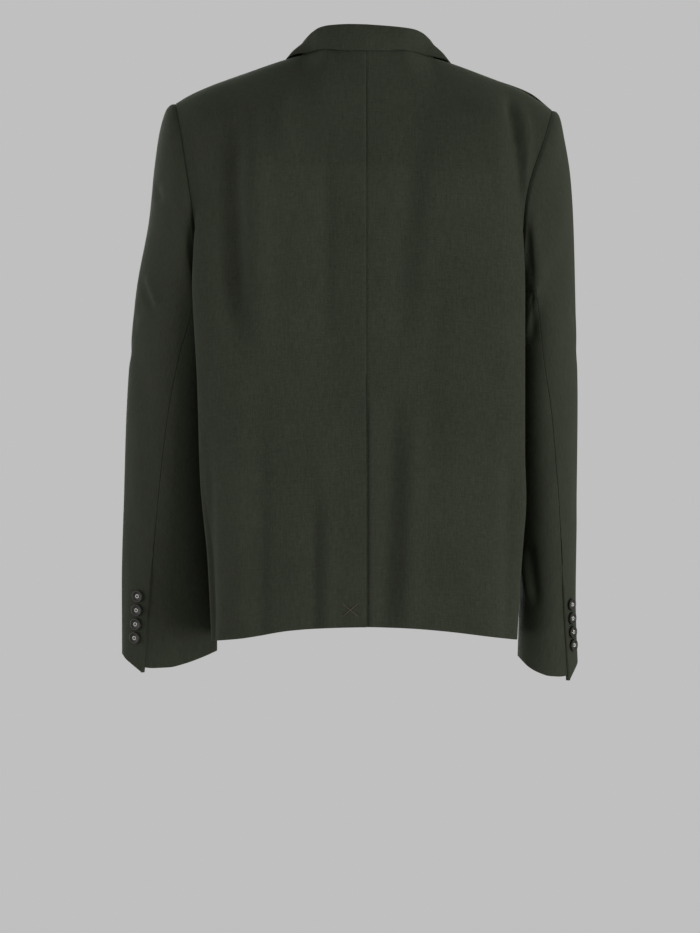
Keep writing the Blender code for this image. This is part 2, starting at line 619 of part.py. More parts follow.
def top_sleeve_of(side):
    """The outside of a top sleeve, raised where it laps over the cuff's vent."""
    flat = sleeve_of(side)

    def surface(place, run):
        facing = normals(flat, place, run, -1.0, 1.0) * SIGN[side]
        lap = (1 - ramp(CUFF_LAP, CUFF_LAP * 2, place)) * ramp(CUFF_VENT - CUFF_CLOSES, CUFF_VENT, run)
        return flat(place, run) + facing * ((CLOTH + LIE) * lap)[..., None]

    return surface


def sleeve_pieces(side):
    """The top sleeve and the under sleeve, with the underlap of the cuff's vent."""
    over = np.linspace(0, 1, TOP_CELLS + 1)
    panel("top_sleeve_" + side, top_sleeve_of(side), over, RUNS, SIGN[side], (-1.0, 1.0))
    underlap = np.linspace(0, CUFF_LAP, CUFF_LAP_CELLS + 1)[1:]
    places = np.concatenate([np.linspace(-1, 0, UNDER_CELLS + 1), underlap])
    places[UNDER_CELLS] = -SEAM_SHARE
    keep = np.ones((len(RUNS) - 1, len(places) - 1), bool)
    keep[:, UNDER_CELLS:] = (np.array(RUNS[:-1]) >= CUFF_VENT - STEP)[:, None]
    panel("under_sleeve_" + side, sleeve_of(side), places, RUNS, SIGN[side], (-1.0, 1.0), keep)


def collar_half(side):
    """Half the collar's cross-sections, from the centre back to the front end, and how its seam faces."""
    surface = body_of(side)
    ends = np.array(COLLAR_REACHES)
    reaches = read(COLLAR, "reach")
    wide = np.where(ends > 0, 1 + (NECK_WIDTH[side] - 1) * ramp(*WIDE_REACHES, ends), 1) * SIGN[side]
    columns = ("fold_x", "fold_y", side + "_fold_z")
    fold = np.stack([smooth(reaches, read(COLLAR, column), ends) for column in columns], -1)
    fold[:, 0] *= wide
    on_back = ends <= NECK_REACH
    place = np.where(on_back, NECK_POINT * ends / NECK_REACH, 2.0)
    level = np.where(on_back, 1.0, 1 - (ends - NECK_REACH) / (1 - NECK_REACH) * (1 - GORGE_LEVEL))
    facing = np.where(
        on_back[:, None],
        normals(surface, np.minimum(place, 1), level, -1.0, 1.0),
        normals(surface, np.maximum(place, FRONT_INSET), level, FRONT_INSET, 2.0),
    ) * -SIGN[side]
    seam = surface(place, level) - facing * CLOTH
    rise = unit(fold - seam)
    seam = seam + rise * LIE
    middle = fold - rise * FOLD_ROUND
    edge_at = ends - NOTCH * ramp(NOTCH_FROM, 1.0, ends)
    columns = ("edge_x", "edge_y", side + "_edge_z")
    edge = np.stack([smooth(reaches, read(COLLAR, column), edge_at) for column in columns], -1)
    edge[:, 0] *= wide
    out = edge - fold
    out = unit(out - rise * np.sum(out * rise, -1, keepdims=True))
    inner = middle - out * FOLD_ROUND
    outer = middle + out * FOLD_ROUND
    fullness = unit(np.cross(np.gradient(fold, axis=0), edge - outer)) * SIGN[side] * FALL_ROUND
    diagonal = math.sqrt(0.5) * FOLD_ROUND
    rows = [
        seam,
        (seam + inner) / 2,
        inner,
        middle + (rise - out) * diagonal,
        middle + rise * FOLD_ROUND,
        middle + (rise + out) * diagonal,
        outer,
        (outer + edge) / 2 + fullness,
        edge,
    ]
    return np.stack(rows, 0), -facing


def collar():
    """The collar in one piece, round the neck."""
    left, left_seam = collar_half("left")
    right, right_seam = collar_half("right")
    middle = (left[:, :1] + right[:, :1]) / 2
    middle[..., 0] = 0
    grid = np.concatenate([right[:, :0:-1], middle, left[:, 1:]], axis=1)
    facing = grid_normals(grid)
    facing[0] = np.concatenate([right_seam[:0:-1], left_seam])
    wall("collar", pulled(grid), facing, COLLAR_CLOTH)


def button(name, centre, axis, across):
    """A dished button, sewn flat on the cloth at its centre."""
    radius = across / 2
    side = unit(np.cross(axis, (0.0, 0.0, 1.0)))
    up = np.cross(side, axis)
    turns = np.linspace(0, 2 * math.pi, BUTTON_SIDES, endpoint=False)
    round_it = np.cos(turns)[:, None] * side + np.sin(turns)[:, None] * up
    points = []
    for ring in BUTTON_PROFILE:
        points.extend(centre + round_it * radius * ring["share"] + axis * BUTTON_THICK * ring["height"])
    rings = len(BUTTON_PROFILE)
    faces = []
    for ring in range(rings - 1):
        first = ring * BUTTON_SIDES
        second = first + BUTTON_SIDES
        for turn in range(BUTTON_SIDES):
            following = (turn + 1) % BUTTON_SIDES
            faces.append([first + turn, second + turn, second + following, first + following])
    faces.append(list(range(BUTTON_SIDES)))
    faces.append([(rings - 1) * BUTTON_SIDES + turn for turn in reversed(range(BUTTON_SIDES))])
    solid(name, points, faces, HORN)


def cuff_buttons(side):
    """Four buttons down the cuff's vent."""
    over = top_sleeve_of(side)
    for number, run in enumerate(CUFF_BUTTON_RUNS, 1):
        place, run = np.array([CUFF_BUTTON_PLACE]), np.array([run])
        facing = normals(over, place, run, -1.0, 1.0)[0] * SIGN[side]
        centre = over(place, run)[0] + facing * BUTTON_LIE
        button(f"cuff_button_{side}_{number}", centre, facing, CUFF_BUTTON_ACROSS)


def front_buttons():
    """The two buttons that close the front, on the centre line of the left front."""
    surface = body_of("left")
    place, level = np.meshgrid(np.linspace(1.7, 2.0, 61), np.linspace(0.2, UNDERARM, 161))
    points = surface(place, level)
    for name, height in FRONT_BUTTON_Z.items():
        away = np.hypot(points[..., 0], points[..., 2] - height)
        nearest = np.unravel_index(np.argmin(away), away.shape)
        at_place, at_level = np.array([place[nearest]]), np.array([level[nearest]])
        facing = -normals(surface, at_place, at_level, FRONT_INSET, 2.0)[0]
        centre = surface(at_place, at_level)[0] + facing * BUTTON_LIE
        button("front_button_" + name, centre, facing, FRONT_BUTTON_ACROSS)


clear_scene()
for side in SIGN:
    back(side)
    front(side)
    lapel(side)
    sleeve_pieces(side)
    cuff_buttons(side)
collar()
front_buttons()
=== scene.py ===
"""A single-breasted blazer in dark green wool, seen from behind, hung hollow as it is worn."""

import math

import bpy
import numpy as np
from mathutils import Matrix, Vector


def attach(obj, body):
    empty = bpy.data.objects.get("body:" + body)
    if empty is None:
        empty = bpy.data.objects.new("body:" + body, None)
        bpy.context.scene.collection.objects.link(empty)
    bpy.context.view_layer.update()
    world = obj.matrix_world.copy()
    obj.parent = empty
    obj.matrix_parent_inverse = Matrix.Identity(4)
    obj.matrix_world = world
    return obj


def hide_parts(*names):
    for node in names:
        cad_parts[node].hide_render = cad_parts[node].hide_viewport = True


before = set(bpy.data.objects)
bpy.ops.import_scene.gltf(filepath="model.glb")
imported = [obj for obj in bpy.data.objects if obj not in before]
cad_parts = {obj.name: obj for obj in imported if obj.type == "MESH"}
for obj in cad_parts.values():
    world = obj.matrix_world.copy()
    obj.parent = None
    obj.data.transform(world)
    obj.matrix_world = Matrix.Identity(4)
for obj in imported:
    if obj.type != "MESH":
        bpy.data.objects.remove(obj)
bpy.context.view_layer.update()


# ---- Camera ----
# A long lens squarely behind the blazer, level with its hips, framed as the photograph is.
PIXEL = 0.0012  # metres of cloth across one pixel, at the distance below
PICTURE_HEIGHT = 933
CAMERA_AWAY = 5.0
CAMERA_PLANE_Y = 0.05
CAMERA_X = 0.0192
CAMERA_Z = -0.4878

camera_data = bpy.data.cameras.new("camera")
camera_data.sensor_width = 36.0
camera_data.lens = camera_data.sensor_width * CAMERA_AWAY / (PICTURE_HEIGHT * PIXEL)
camera_data.clip_end = 60.0
camera = bpy.data.objects.new("camera", camera_data)
camera.location = (CAMERA_X, CAMERA_PLANE_Y + CAMERA_AWAY, CAMERA_Z)
camera.rotation_euler = (math.radians(90), 0.0, math.radians(180))
bpy.context.scene.collection.objects.link(camera)
bpy.context.scene.camera = camera


# ---- Studio ----
# A plain grey room, large soft lamps, and a pale floor that melts into the grey away from the
# blazer, so that no line crosses the picture.
ROOM_GREY = 0.527
LAMPS = (
    # name, place, width of the lamp, power
    ("lamp_behind_left", (2.6, 1.5, -0.7), 1.8, 27.0),
    ("lamp_behind_right", (-2.5, 2.2, -0.7), 1.8, 114.0),
    ("lamp_side_left", (3.3, -0.3, -0.7), 1.4, 34.0),
    ("lamp_front", (0.6, -3.2, 0.4), 2.4, 90.0),
)
LAMP_AIM = (0.0, 0.0, -0.38)
FLOOR_Z = -1.25
FLOOR_ACROSS = 3.2
FLOOR_FADES = (0.75, 1.5)  # how far from its middle the floor begins to melt away, and is gone

bpy.context.scene.view_settings.view_transform = "Standard"
room = bpy.data.worlds.new("room")
room.use_nodes = True
room.node_tree.nodes["Background"].inputs["Color"].default_value = 3 * (ROOM_GREY,) + (1.0,)
bpy.context.scene.world = room

for name, place, across, power in LAMPS:
    lamp_data = bpy.data.lights.new(name, "AREA")
    lamp_data.size = across
    lamp_data.energy = power
    lamp = bpy.data.objects.new(name, lamp_data)
    lamp.location = place
    lamp.rotation_euler = (Vector(LAMP_AIM) - Vector(place)).to_track_quat("-Z", "Y").to_euler()
    bpy.context.scene.collection.objects.link(lamp)


class Wire:
    """A socket in a finish. Used in an expression, it adds the maths nodes that the expression says."""

    def __init__(self, finish, socket):
        self.finish = finish
        self.socket = socket

    def math(self, operation, *values):
        return self.finish.node("Math", {"operation": operation}, dict(enumerate(values)))

    def __add__(self, other):
        return self.math("ADD", self, other)

    __radd__ = __add__

    def __mul__(self, other):
        return self.math("MULTIPLY", self, other)

    __rmul__ = __mul__

    def sine(self):
        return self.math("SINE", self)


class Finish:
    """A material, and the one way in which its nodes are made."""

    def __init__(self, name):
        self.material = bpy.data.materials.new(name)
        self.material.use_nodes = True
        self.tree = self.material.node_tree
        self.shader = self.tree.nodes["Principled BSDF"]

    def plug(self, socket, value):
        if isinstance(value, Wire):
            self.tree.links.new(value.socket, socket)
        else:
            socket.default_value = value

    def node(self, kind, settings=None, inputs=None, output=0):
        made = self.tree.nodes.new("ShaderNode" + kind)
        for name, value in (settings or {}).items():
            setattr(made, name, value)
        for name, value in (inputs or {}).items():
            self.plug(made.inputs[name], value)
        return Wire(self, made.outputs[output])

    def set(self, **values):
        for name, value in values.items():
            self.plug(self.shader.inputs[name.replace("_", " ")], value)


floor_mesh = bpy.data.meshes.new("floor")
half = FLOOR_ACROSS / 2
turns = [math.radians(turn) for turn in range(0, 360, 5)]
rim = [(half * math.cos(turn), half * math.sin(turn), FLOOR_Z) for turn in turns]
floor_mesh.from_pydata(rim, [], [list(range(len(rim)))])
floor = bpy.data.objects.new("floor", floor_mesh)
bpy.context.scene.collection.objects.link(floor)
pale = Finish("pale_floor")
spot = pale.node("TexCoord", output="Object")
away = pale.node("VectorMath", {"operation": "LENGTH"}, {0: spot}, output="Value")
pale.set(
    Base_Color=(0.66, 0.66, 0.66, 1.0),
    Roughness=0.9,
    Specular_IOR_Level=0.1,
    Alpha=pale.node(
        "MapRange",
        {"interpolation_type": "SMOOTHSTEP"},
        {"Value": away, 1: FLOOR_FADES[0], 2: FLOOR_FADES[1], 3: 1.0, 4: 0.0},
    ),
)
floor_mesh.materials.append(pale.material)


# ---- Back ----
# Two panels of wool suiting joined down the centre back, each cut in one from hem to shoulder.
# The left panel laps over the right one at the centre vent, and the seam above it is pressed open.


def table(text):
    """A table's rows of numbers, each number under the name that the first line gives its column."""
    names, *rows = [line.split() for line in text.strip().splitlines()]
    return tuple(dict(zip(names, map(float, row))) for row in rows)


CLOTH = 0.0020  # finished thickness of the cloth
LIE = 0.0005  # air between cloths that lie on each other
TUCK = 0.008  # below the armhole the side is drawn in this far behind the sleeve
TUCK_SHARE = 0.55
TUCK_LEAST = 0.001
TUCK_LEVELS = (0.56, 0.68)
UNDERARM_Z = -0.275  # height of the underarm in the sections
UNDERARM = 0.6  # level of the underarm, from the hem at 0 to the shoulder seam at 1
ABOVE_TOP = 1.2  # the body is worked out up to this share of the height above the underarm
NECK_POINT = 0.4  # place of the neck point across the back, from the centre at 0 to the side at 1
FRONT_START = 1.0 + 1e-6  # place just past the side seam, where the front begins
TINY = 1e-12
SIGN = {"left": 1.0, "right": -1.0}

# Armholes: turn is the angle round the armhole from the shoulder tip, by the back.
ARMHOLE = {
    "left": table("""
        turn x y z
          0 0.2307 -0.004 -0.048
         45 0.2235   0.05 -0.081
         90 0.2105  0.073 -0.162
        135 0.1975  0.053 -0.242
        180  0.174  0.004 -0.275
        225  0.176 -0.042  -0.24
        270   0.19  -0.06  -0.16
        315  0.215 -0.044 -0.081
    """),
    "right": table("""
        turn x y z
          0 0.2259 -0.004 -0.056
         45  0.215  0.056  -0.09
         90  0.191  0.075 -0.169
        135  0.184  0.052 -0.247
        180  0.172  0.004  -0.28
        225  0.174 -0.042 -0.246
        270  0.188  -0.06 -0.168
        315  0.212 -0.044 -0.091
    """),
}

# Half a section of the body in each row, hem first: the centre back, neck line, blade, corner and side.
BACK_SECTIONS = table("""
    level side_z centre_y neck_x neck_y blade_x blade_y left_x right_x corner_y side_x side_y
    0.00 -0.694  0.108  0.09  0.106 0.148  0.096  0.185  0.181  0.066 0.168 0.022
    0.15   -0.6  0.108 0.092  0.107 0.153  0.099 0.1895 0.1855  0.069 0.169  0.02
    0.30   -0.5  0.104 0.094  0.104 0.158  0.098 0.1985   0.19  0.071 0.169 0.018
    0.45 -0.385  0.098 0.095  0.101  0.16  0.098  0.202   0.19  0.073 0.169 0.014
    0.57 -0.297  0.103 0.096  0.106 0.161  0.101 0.2068   0.19 0.0748 0.168 0.006
    0.60 -0.275 0.1045 0.096 0.1078 0.161  0.102 0.2078   0.19 0.0757 0.173 0.004
    0.70  -0.24 0.1075 0.097 0.1112  0.16 0.1042 0.2052  0.188 0.0783 0.174 0.004
    0.80 -0.165 0.1068 0.096 0.1109 0.157  0.104  0.197 0.1825  0.083 0.174 0.004
    0.90  -0.08 0.1032  0.09 0.1082 0.152  0.102  0.197   0.18  0.086 0.174 0.004
    1.00 -0.048    0.1 0.077  0.105  0.15    0.1  0.196   0.19  0.086 0.174 0.004
""")

# The front's corner and chest, and the depth of its edge.
FRONT_SECTIONS = table("""
    level flank_x flank_y chest_x chest_y edge_y
    0.00 0.158 -0.066 0.095 -0.104 -0.114
    0.15  0.16 -0.069 0.097 -0.108 -0.118
    0.30 0.161 -0.072 0.098 -0.111 -0.121
    0.45 0.162 -0.074 0.099 -0.114 -0.123
    0.57  0.16 -0.075 0.101 -0.117 -0.126
    0.60 0.162 -0.076 0.102 -0.118 -0.126
    0.70 0.166  -0.08 0.108 -0.118 -0.122
    0.80 0.172  -0.08 0.115 -0.112 -0.112
    0.90 0.186 -0.076  0.13 -0.098 -0.086
    1.00   0.2 -0.072  0.15  -0.09  -0.08
""")

# Heights of the top edge (neckline and shoulder seam) and of the hem, across the back and the front.
BACK_EDGES = table("""
    place left_top right_top left_hem right_hem
    -0.4   0.011  0.0075 -0.6828 -0.6838
    -0.2  0.0155  0.0138 -0.6798 -0.6802
     0.0  0.0155  0.0155 -0.6785 -0.6785
     0.2  0.0155  0.0138 -0.6798 -0.6802
     0.4   0.011  0.0075 -0.6828 -0.6838
    0.62 -0.0125 -0.0163 -0.6925 -0.6905
    0.84 -0.0295 -0.0325 -0.6962 -0.6948
    0.93 -0.0385 -0.0445 -0.6952 -0.6945
     1.0  -0.048  -0.056  -0.694 -0.6935
""")
FRONT_EDGES = table("""
    place left_top right_top left_hem right_hem
     1.0  -0.048  -0.056 -0.694 -0.6935
     1.2 -0.0312 -0.0352  -0.69 -0.6895
    1.55 -0.0125 -0.0163 -0.686 -0.6855
     2.0   0.011  0.0075 -0.682  -0.682
""")
SEAM_Y = -0.005  # depth of the shoulder seam
NAPE_Y = 0.058  # depth of the neckline at the centre back
NECK_WIDTH = {"left": 1.0, "right": 1.06}
SHOULDER_ROUND = 0.8
NECK_ROUND = 0.75
NECK_HALF = 0.54
NECK_CURVE = 0.2
EDGE_BEND = 0.6
OVERLAP = 0.018  # the front edge lies this far past the middle
BREAK_Z = -0.385  # height above the top button where the roll line begins
ROLL_TOP_X = 0.077
FRONT_LIFT = 0.0080  # the left front stands out this much where it laps over the right one
LIFT_PLACES = (1.50, 1.78)
LIFT_LEVELS = (0.66, 0.84)
VENT_LEVEL = 0.375
VENT_LIFT = CLOTH + LIE
VENT_FLARE = 0.0030  # the lap stands this much further out at the hem
VENT_CLOSES = 0.060
LAP_PLACES = (0.19, 0.33)
UNDERLAP = 0.17
FOLD_STARTS = (-0.15, 0.25)
FOLD_FADES = (0.75, 1.15)
CALM_PLACES = (0.86, 0.97)
CALM_LEVELS = (0.93, 0.99)
BACK_FOLDS = table("""
    top_x top_z end_x end_z wide height
     0.158 -0.06   0.15 -0.34  0.02  -0.006
     0.048 -0.11   0.04 -0.43 0.028 -0.0035
    -0.056 -0.04 -0.074  -0.5 0.026  -0.004
     0.056 -0.52   0.05 -0.72 0.024 -0.0045
      0.15 -0.45  0.132  -0.7 0.022  -0.004
     -0.04 -0.48 -0.032  -0.7 0.022  -0.003
""")


def read(rows, column):
    """One column of a table."""
    return np.array([row[column] for row in rows], float)


def even_slopes(places, values):
    """Slopes at the places for a curve that never swings past its values."""
    gap = np.diff(places).reshape((-1,) + (1,) * (values.ndim - 1))
    secant = np.diff(values, axis=0) / gap
    before, after = secant[:-1], secant[1:]
    first, last = 2 * gap[1:] + gap[:-1], gap[1:] + 2 * gap[:-1]
    together = before * after > 0
    safe_before = np.where(together, before, 1.0)
    safe_after = np.where(together, after, 1.0)
    inner = np.where(together, (first + last) / (first / safe_before + last / safe_after), 0.0)
    return np.concatenate([secant[:1], inner, secant[-1:]])


def smooth(places, values, at):
    """A smooth curve through the values at the places, read at any place."""
    at = np.asarray(at, float)
    places = np.asarray(places, float)
    values = np.asarray(values, float)
    values = values.reshape(values.shape + (1,) * (at.ndim + 1 - values.ndim))
    values = np.broadcast_to(values, (len(places),) + at.shape)
    slopes = even_slopes(places, values)
    cell = np.clip(np.searchsorted(places, at, side="right") - 1, 0, len(places) - 2)
    width = places[cell + 1] - places[cell]
    t = (at - places[cell]) / width
    first = np.take_along_axis(values, cell[None], 0)[0]
    last = np.take_along_axis(values, cell[None] + 1, 0)[0]
    first_slope = np.take_along_axis(slopes, cell[None], 0)[0] * width
    last_slope = np.take_along_axis(slopes, cell[None] + 1, 0)[0] * width
    return (
        first * (2 * t**3 - 3 * t**2 + 1)
        + first_slope * (t**3 - 2 * t**2 + t)
        + last * (3 * t**2 - 2 * t**3)
        + last_slope * (t**3 - t**2)
    )


def curve(rows, column, at):
    """A column of a table, as a smooth curve over the table's first column."""
    return smooth(read(rows, next(iter(rows[0]))), read(rows, column), at)


def ramp(low, high, at):
    """0 below low, 1 above high, and an even rise between."""
    t = np.clip((np.asarray(at, float) - low) / (high - low), 0, 1)
    return t * t * (3 - 2 * t)


def armhole(side, turn):
    """A point of the armhole seam at an angle from the shoulder tip, by the back."""
    rows = ARMHOLE[side]
    beyond = 3  # rows repeated past either end, so that the ring closes smoothly
    turns = np.arange(-beyond, len(rows) + beyond) * 360 / len(rows)
    rows = rows[-beyond:] + rows + rows[:beyond]
    return [smooth(turns, read(rows, axis), np.mod(turn, 360)) for axis in "xyz"]


def folds(x, z):
    """How far the folds of the back raise a point."""
    raised = np.zeros_like(x)
    for fold in BACK_FOLDS:
        along = (z - fold["top_z"]) / (fold["end_z"] - fold["top_z"])
        middle = fold["top_x"] + (fold["end_x"] - fold["top_x"]) * np.clip(along, 0, 1)
        across = np.exp(-(((x - middle) / fold["wide"]) ** 2))
        raised += fold["height"] * across * ramp(*FOLD_STARTS, along) * (1 - ramp(*FOLD_FADES, along))
    return raised


def body(side, place, level):
    """A point of the body's outside. Places 0 to 1 cross the back, and 1 to 2 the front."""
    place, level = np.broadcast_arrays(np.asarray(place, float), np.asarray(level, float))
    sign = SIGN[side]
    across = np.abs(place)
    is_back = across <= 1
    wide = NECK_WIDTH[side]
    turn = 180 * (1 - np.clip((level - UNDERARM) / (1 - UNDERARM), 0, ABOVE_TOP))
    above = level > UNDERARM
    hole = armhole(side, np.where(is_back, turn, 360 - turn))
    tip = ARMHOLE[side][0]
    under = ARMHOLE[side][len(ARMHOLE[side]) // 2]
    rise = (hole[2] - under["z"]) / (tip["z"] - under["z"])
    height = np.where(above, UNDERARM + (1 - UNDERARM) * rise, level)
    knot = {}
    for rows in (BACK_SECTIONS, FRONT_SECTIONS):
        for name in rows[0]:
            knot[name] = curve(rows, name, height)
    fall = (knot["side_z"] - UNDERARM_Z) / (BACK_SECTIONS[0]["side_z"] - UNDERARM_Z)
    side_x = np.where(above, hole[0], knot["side_x"])
    side_y = np.where(above, hole[1], knot["side_y"])

    def height_between(hem, top):
        to_top = under["z"] + (top - under["z"]) * rise
        to_hem = under["z"] - (under["z"] - hem) * fall
        return np.where(above, to_top, to_hem)

    ends = {}
    for edge in ("top", "hem"):
        on_back, on_front = [curve(rows, side + "_" + edge, across) for rows in (BACK_EDGES, FRONT_EDGES)]
        ends[edge] = np.where(is_back, on_back, on_front)
    z = height_between(ends["hem"], ends["top"])

    # Toward the shoulder seam the sections close in on it: the sides first, the centre least.
    near_seam = above & (turn < 90)
    bend = np.where(near_seam, np.sin(np.radians(turn)), 1.0)
    slope = np.where(near_seam, (1 - np.cos(np.radians(turn))) ** SHOULDER_ROUND, 1.0)
    closing = ("blade_y", "corner_y", "flank_y", "chest_y")
    depth = {name: SEAM_Y + (knot[name] - SEAM_Y) * bend for name in closing}
    centre_y = NAPE_Y + (knot["centre_y"] - NAPE_Y) * slope
    neck_y = SEAM_Y + (knot["neck_y"] - SEAM_Y) * (0.5 * bend + 0.5 * slope**NECK_ROUND)
    edge_y = SEAM_Y + (knot["edge_y"] - SEAM_Y) * (EDGE_BEND * bend + (1 - EDGE_BEND) * slope)

    # The back.
    corner_x = knot[side + "_x"]
    neck_x = knot["neck_x"] * wide
    tuck_x = corner_x + (side_x - corner_x) * TUCK_SHARE - TUCK * (1 - ramp(*TUCK_LEVELS, level))
    tuck_x = np.where(level < TUCK_LEVELS[1], np.maximum(tuck_x, side_x + TUCK_LEAST), tuck_x)
    tuck_y = depth["corner_y"] + (side_y - depth["corner_y"]) * TUCK_SHARE
    half_x = neck_x * NECK_HALF
    half_y = centre_y + (neck_y - centre_y) * NECK_CURVE
    outward_x = [knot["blade_x"], corner_x, tuck_x, side_x]
    outward_y = [depth["blade_y"], depth["corner_y"], tuck_y, side_y]
    knots_x = np.stack([-neck_x, -half_x, 0 * side_x, half_x, neck_x] + outward_x)
    knots_y = np.stack([neck_y, half_y, centre_y, half_y, neck_y] + outward_y)
    back_x = smooth(read(BACK_EDGES, "place"), knots_x, across)
    back_y = smooth(read(BACK_EDGES, "place"), knots_y, across)

    # The front.
    roll_top = FRONT_EDGES[-1][side + "_top"]
    edge_z = height_between(FRONT_EDGES[-1][side + "_hem"], roll_top)
    edge_x = np.interp(edge_z, (BREAK_Z, roll_top), (-OVERLAP, ROLL_TOP_X * wide))
    knots_x = np.stack([side_x, knot["flank_x"], knot["chest_x"], edge_x])
    knots_y = np.stack([side_y, depth["flank_y"], depth["chest_y"], edge_y])
    front_x = smooth(read(FRONT_EDGES, "place"), knots_x, across)
    front_y = smooth(read(FRONT_EDGES, "place"), knots_y, across)
    if side == "left":
        front_y = front_y - FRONT_LIFT * ramp(*LIFT_PLACES, across) * (1 - ramp(*LIFT_LEVELS, level))

    x = np.where(is_back, back_x, front_x) * np.where(place < 0, -1, 1) * sign
    y = np.where(is_back, back_y, front_y)
    calm = (1 - ramp(*CALM_PLACES, across)) * (1 - ramp(*CALM_LEVELS, level))  # no fold by the seams
    y = y + np.where(is_back, folds(x, z) * calm, 0)
    if side == "left":
        laps = (1 - ramp(VENT_LEVEL, VENT_LEVEL + VENT_CLOSES, level)) * (1 - ramp(*LAP_PLACES, across))
        flare = VENT_FLARE * (1 - ramp(0, VENT_LEVEL, level))
        y = y + np.where(is_back, (VENT_LIFT + flare) * laps, 0)
    return np.stack([x, y, z], -1)


def unit(vector):
    """A direction of length 1."""
    return vector / np.maximum(np.linalg.norm(vector, axis=-1, keepdims=True), TINY)


def facing_of(grid, outward):
    """Which way a grid of points faces; outward is 1 or -1."""
    return outward * unit(np.cross(np.gradient(grid, axis=1), np.gradient(grid, axis=0)))


# Creases: each runs on the cloth between two spots, top and end, given across and up. A trough's
# height is negative. Where they are seen from says which axis runs across and which cloth shows.
SEEN = {"behind": (0, (0, 1, 0)), "before": (0, (0, -1, 0)), "outside": (1, (1, 0, 0))}
CREASE_FADE = 0.3  # share of a crease's length over which each end dies out
CREASE_PAST = 0.02  # and how far past the end it would be quite gone
LEVEL_OFF = 0.35  # cloth that turns this far away shows none of the crease
SEWN_FADE = 0.016  # a crease dies out over this much cloth before a sewn edge, which stays closed


def creased(grid, outward, creases, sewn=None):
    """The grid with creases pressed into it, and none at its sewn column, if one is given.

    Creases holds a table for each side that they are seen from.
    """
    facing = facing_of(grid, outward)
    free = 1.0
    if sewn is not None:
        free = ramp(0.0, SEWN_FADE, np.linalg.norm(grid - grid[:, [sewn]], axis=-1))
    for seen, row in [(seen, row) for seen, rows in creases.items() for row in rows]:
        axis, toward = SEEN[seen]
        start = np.array([row["top_a"], row["top_z"]])
        run = np.array([row["end_a"], row["end_z"]]) - start
        toward = np.array(toward, float) * (np.sign(grid[..., 0].mean()) if seen == "outside" else 1)
        spot = np.stack([grid[..., axis], grid[..., 2]], -1) - start
        along = np.clip(spot @ run / (run @ run), 0, 1)
        off = np.linalg.norm(spot - along[..., None] * run, axis=-1) / row["wide"]
        ends = ramp(-CREASE_PAST, CREASE_FADE, along)
        ends = ends * (1 - ramp(1 - CREASE_FADE, 1 + CREASE_PAST, along))
        shows = ramp(0.0, LEVEL_OFF, facing @ toward)
        height = row["height"] * np.exp(-off ** row["sharp"]) * ends * shows * free
        grid = grid + facing * height[..., None]
    return grid


BACK_CREASES = table("""
    top_a top_z end_a end_z wide height sharp
     0.166  -0.02  0.159  -0.37 0.0165 -0.0092 2.0
     0.134  -0.03   0.13  -0.37 0.0165  0.0094 2.0
     0.098  -0.03  0.104  -0.14  0.016   0.005 2.0
     0.048  -0.09  0.047  -0.34  0.009 -0.0026 2.0
     -0.05   -0.1 -0.036  -0.36  0.013  -0.003 2.0
     -0.08  -0.08 -0.062   -0.4  0.015  0.0038 2.0
    -0.034  -0.37 -0.018  -0.74  0.012 -0.0042 2.0
     -0.06  -0.37 -0.046  -0.74  0.014  0.0058 2.0
      0.15  -0.35   0.15  -0.74  0.013   0.004 2.0
     0.123  -0.42  0.124  -0.74 0.0095 -0.0026 2.0
     0.062   -0.5  0.061  -0.74  0.008  -0.003 2.0
     0.044   -0.5  0.044  -0.74  0.009  0.0026 2.0
      0.19  -0.42  0.187  -0.76   0.01  -0.007 2.0
     0.205 -0.075  0.199  -0.19  0.011 -0.0022 2.0
      0.02   -0.4   0.09 -0.408  0.012 -0.0009 2.0
    -0.046  -0.04  -0.08 -0.075  0.009  -0.001 1.6
    -0.062 -0.034 -0.098 -0.066  0.008 -0.0008 1.6
    -0.171 -0.035  -0.18  -0.11  0.006 -0.0055 1.8
    -0.177 -0.085 -0.192  -0.19  0.006  -0.006 1.8
    -0.187  -0.05 -0.198 -0.165  0.008  0.0044 2.0
    -0.171  -0.44  -0.17  -0.76   0.01  -0.005 2.0
    -0.194  -0.46 -0.192  -0.76   0.01  0.0045 2.0
""")
SEAM_CREASES = table("""
    top_a top_z end_a end_z wide height sharp
    0 0.1 0 -0.48 0.0015 -0.0012 1.6
""")
VENT_CREASES = table("""
    top_a top_z end_a end_z wide height sharp
    -0.0012 -0.33 -0.0012 -0.8 0.0018 -0.0016 1.8
""")

# How an edge turns in: how deep its last point lies under the outside, and over what width.
SEAM_EDGE = (0.0013, 0.0010)
SEAM_SHARE = 0.0012  # place at which the right back's edge at the centre seam starts
FOLDED_EDGE = (CLOTH / 2, 0.0011)
INNER_ROUND = 0.6  # the inside of an edge is rounded over at least this share of the thickness
NEAR_EDGE = (0.0, 0.0002, 0.0005, 0.0009, 0.0014, 0.0022, 0.0036, 0.0060)  # points by an edge, in metres
CLOSE = len(NEAR_EDGE) - 1  # how many of them aren't shared with the even cells


def spread(first, last, cells, length):
    """Places from first to last, closer together by both ends. Length is the distance in metres."""
    near = np.array(NEAR_EDGE) * (last - first) / length
    even = np.linspace(first + near[-1], last - near[-1], cells)
    return np.concatenate([first + near[:-1], even, last - near[-2::-1]])


def turned_in(away, depth, width):
    """How deep a point lies under the outside, this far from a rounded edge."""
    t = 1 - np.clip(away / width, 0, 1)
    return depth * (1 - np.sqrt(1 - t * t))


def lengths(grid, axis):
    """How far each point of a grid lies along the cloth from the grid's edge."""
    steps = np.cumsum(np.linalg.norm(np.diff(grid, axis=axis), axis=-1), axis)
    return np.concatenate([np.zeros_like(grid.take([0], axis)[..., 0]), steps], axis)


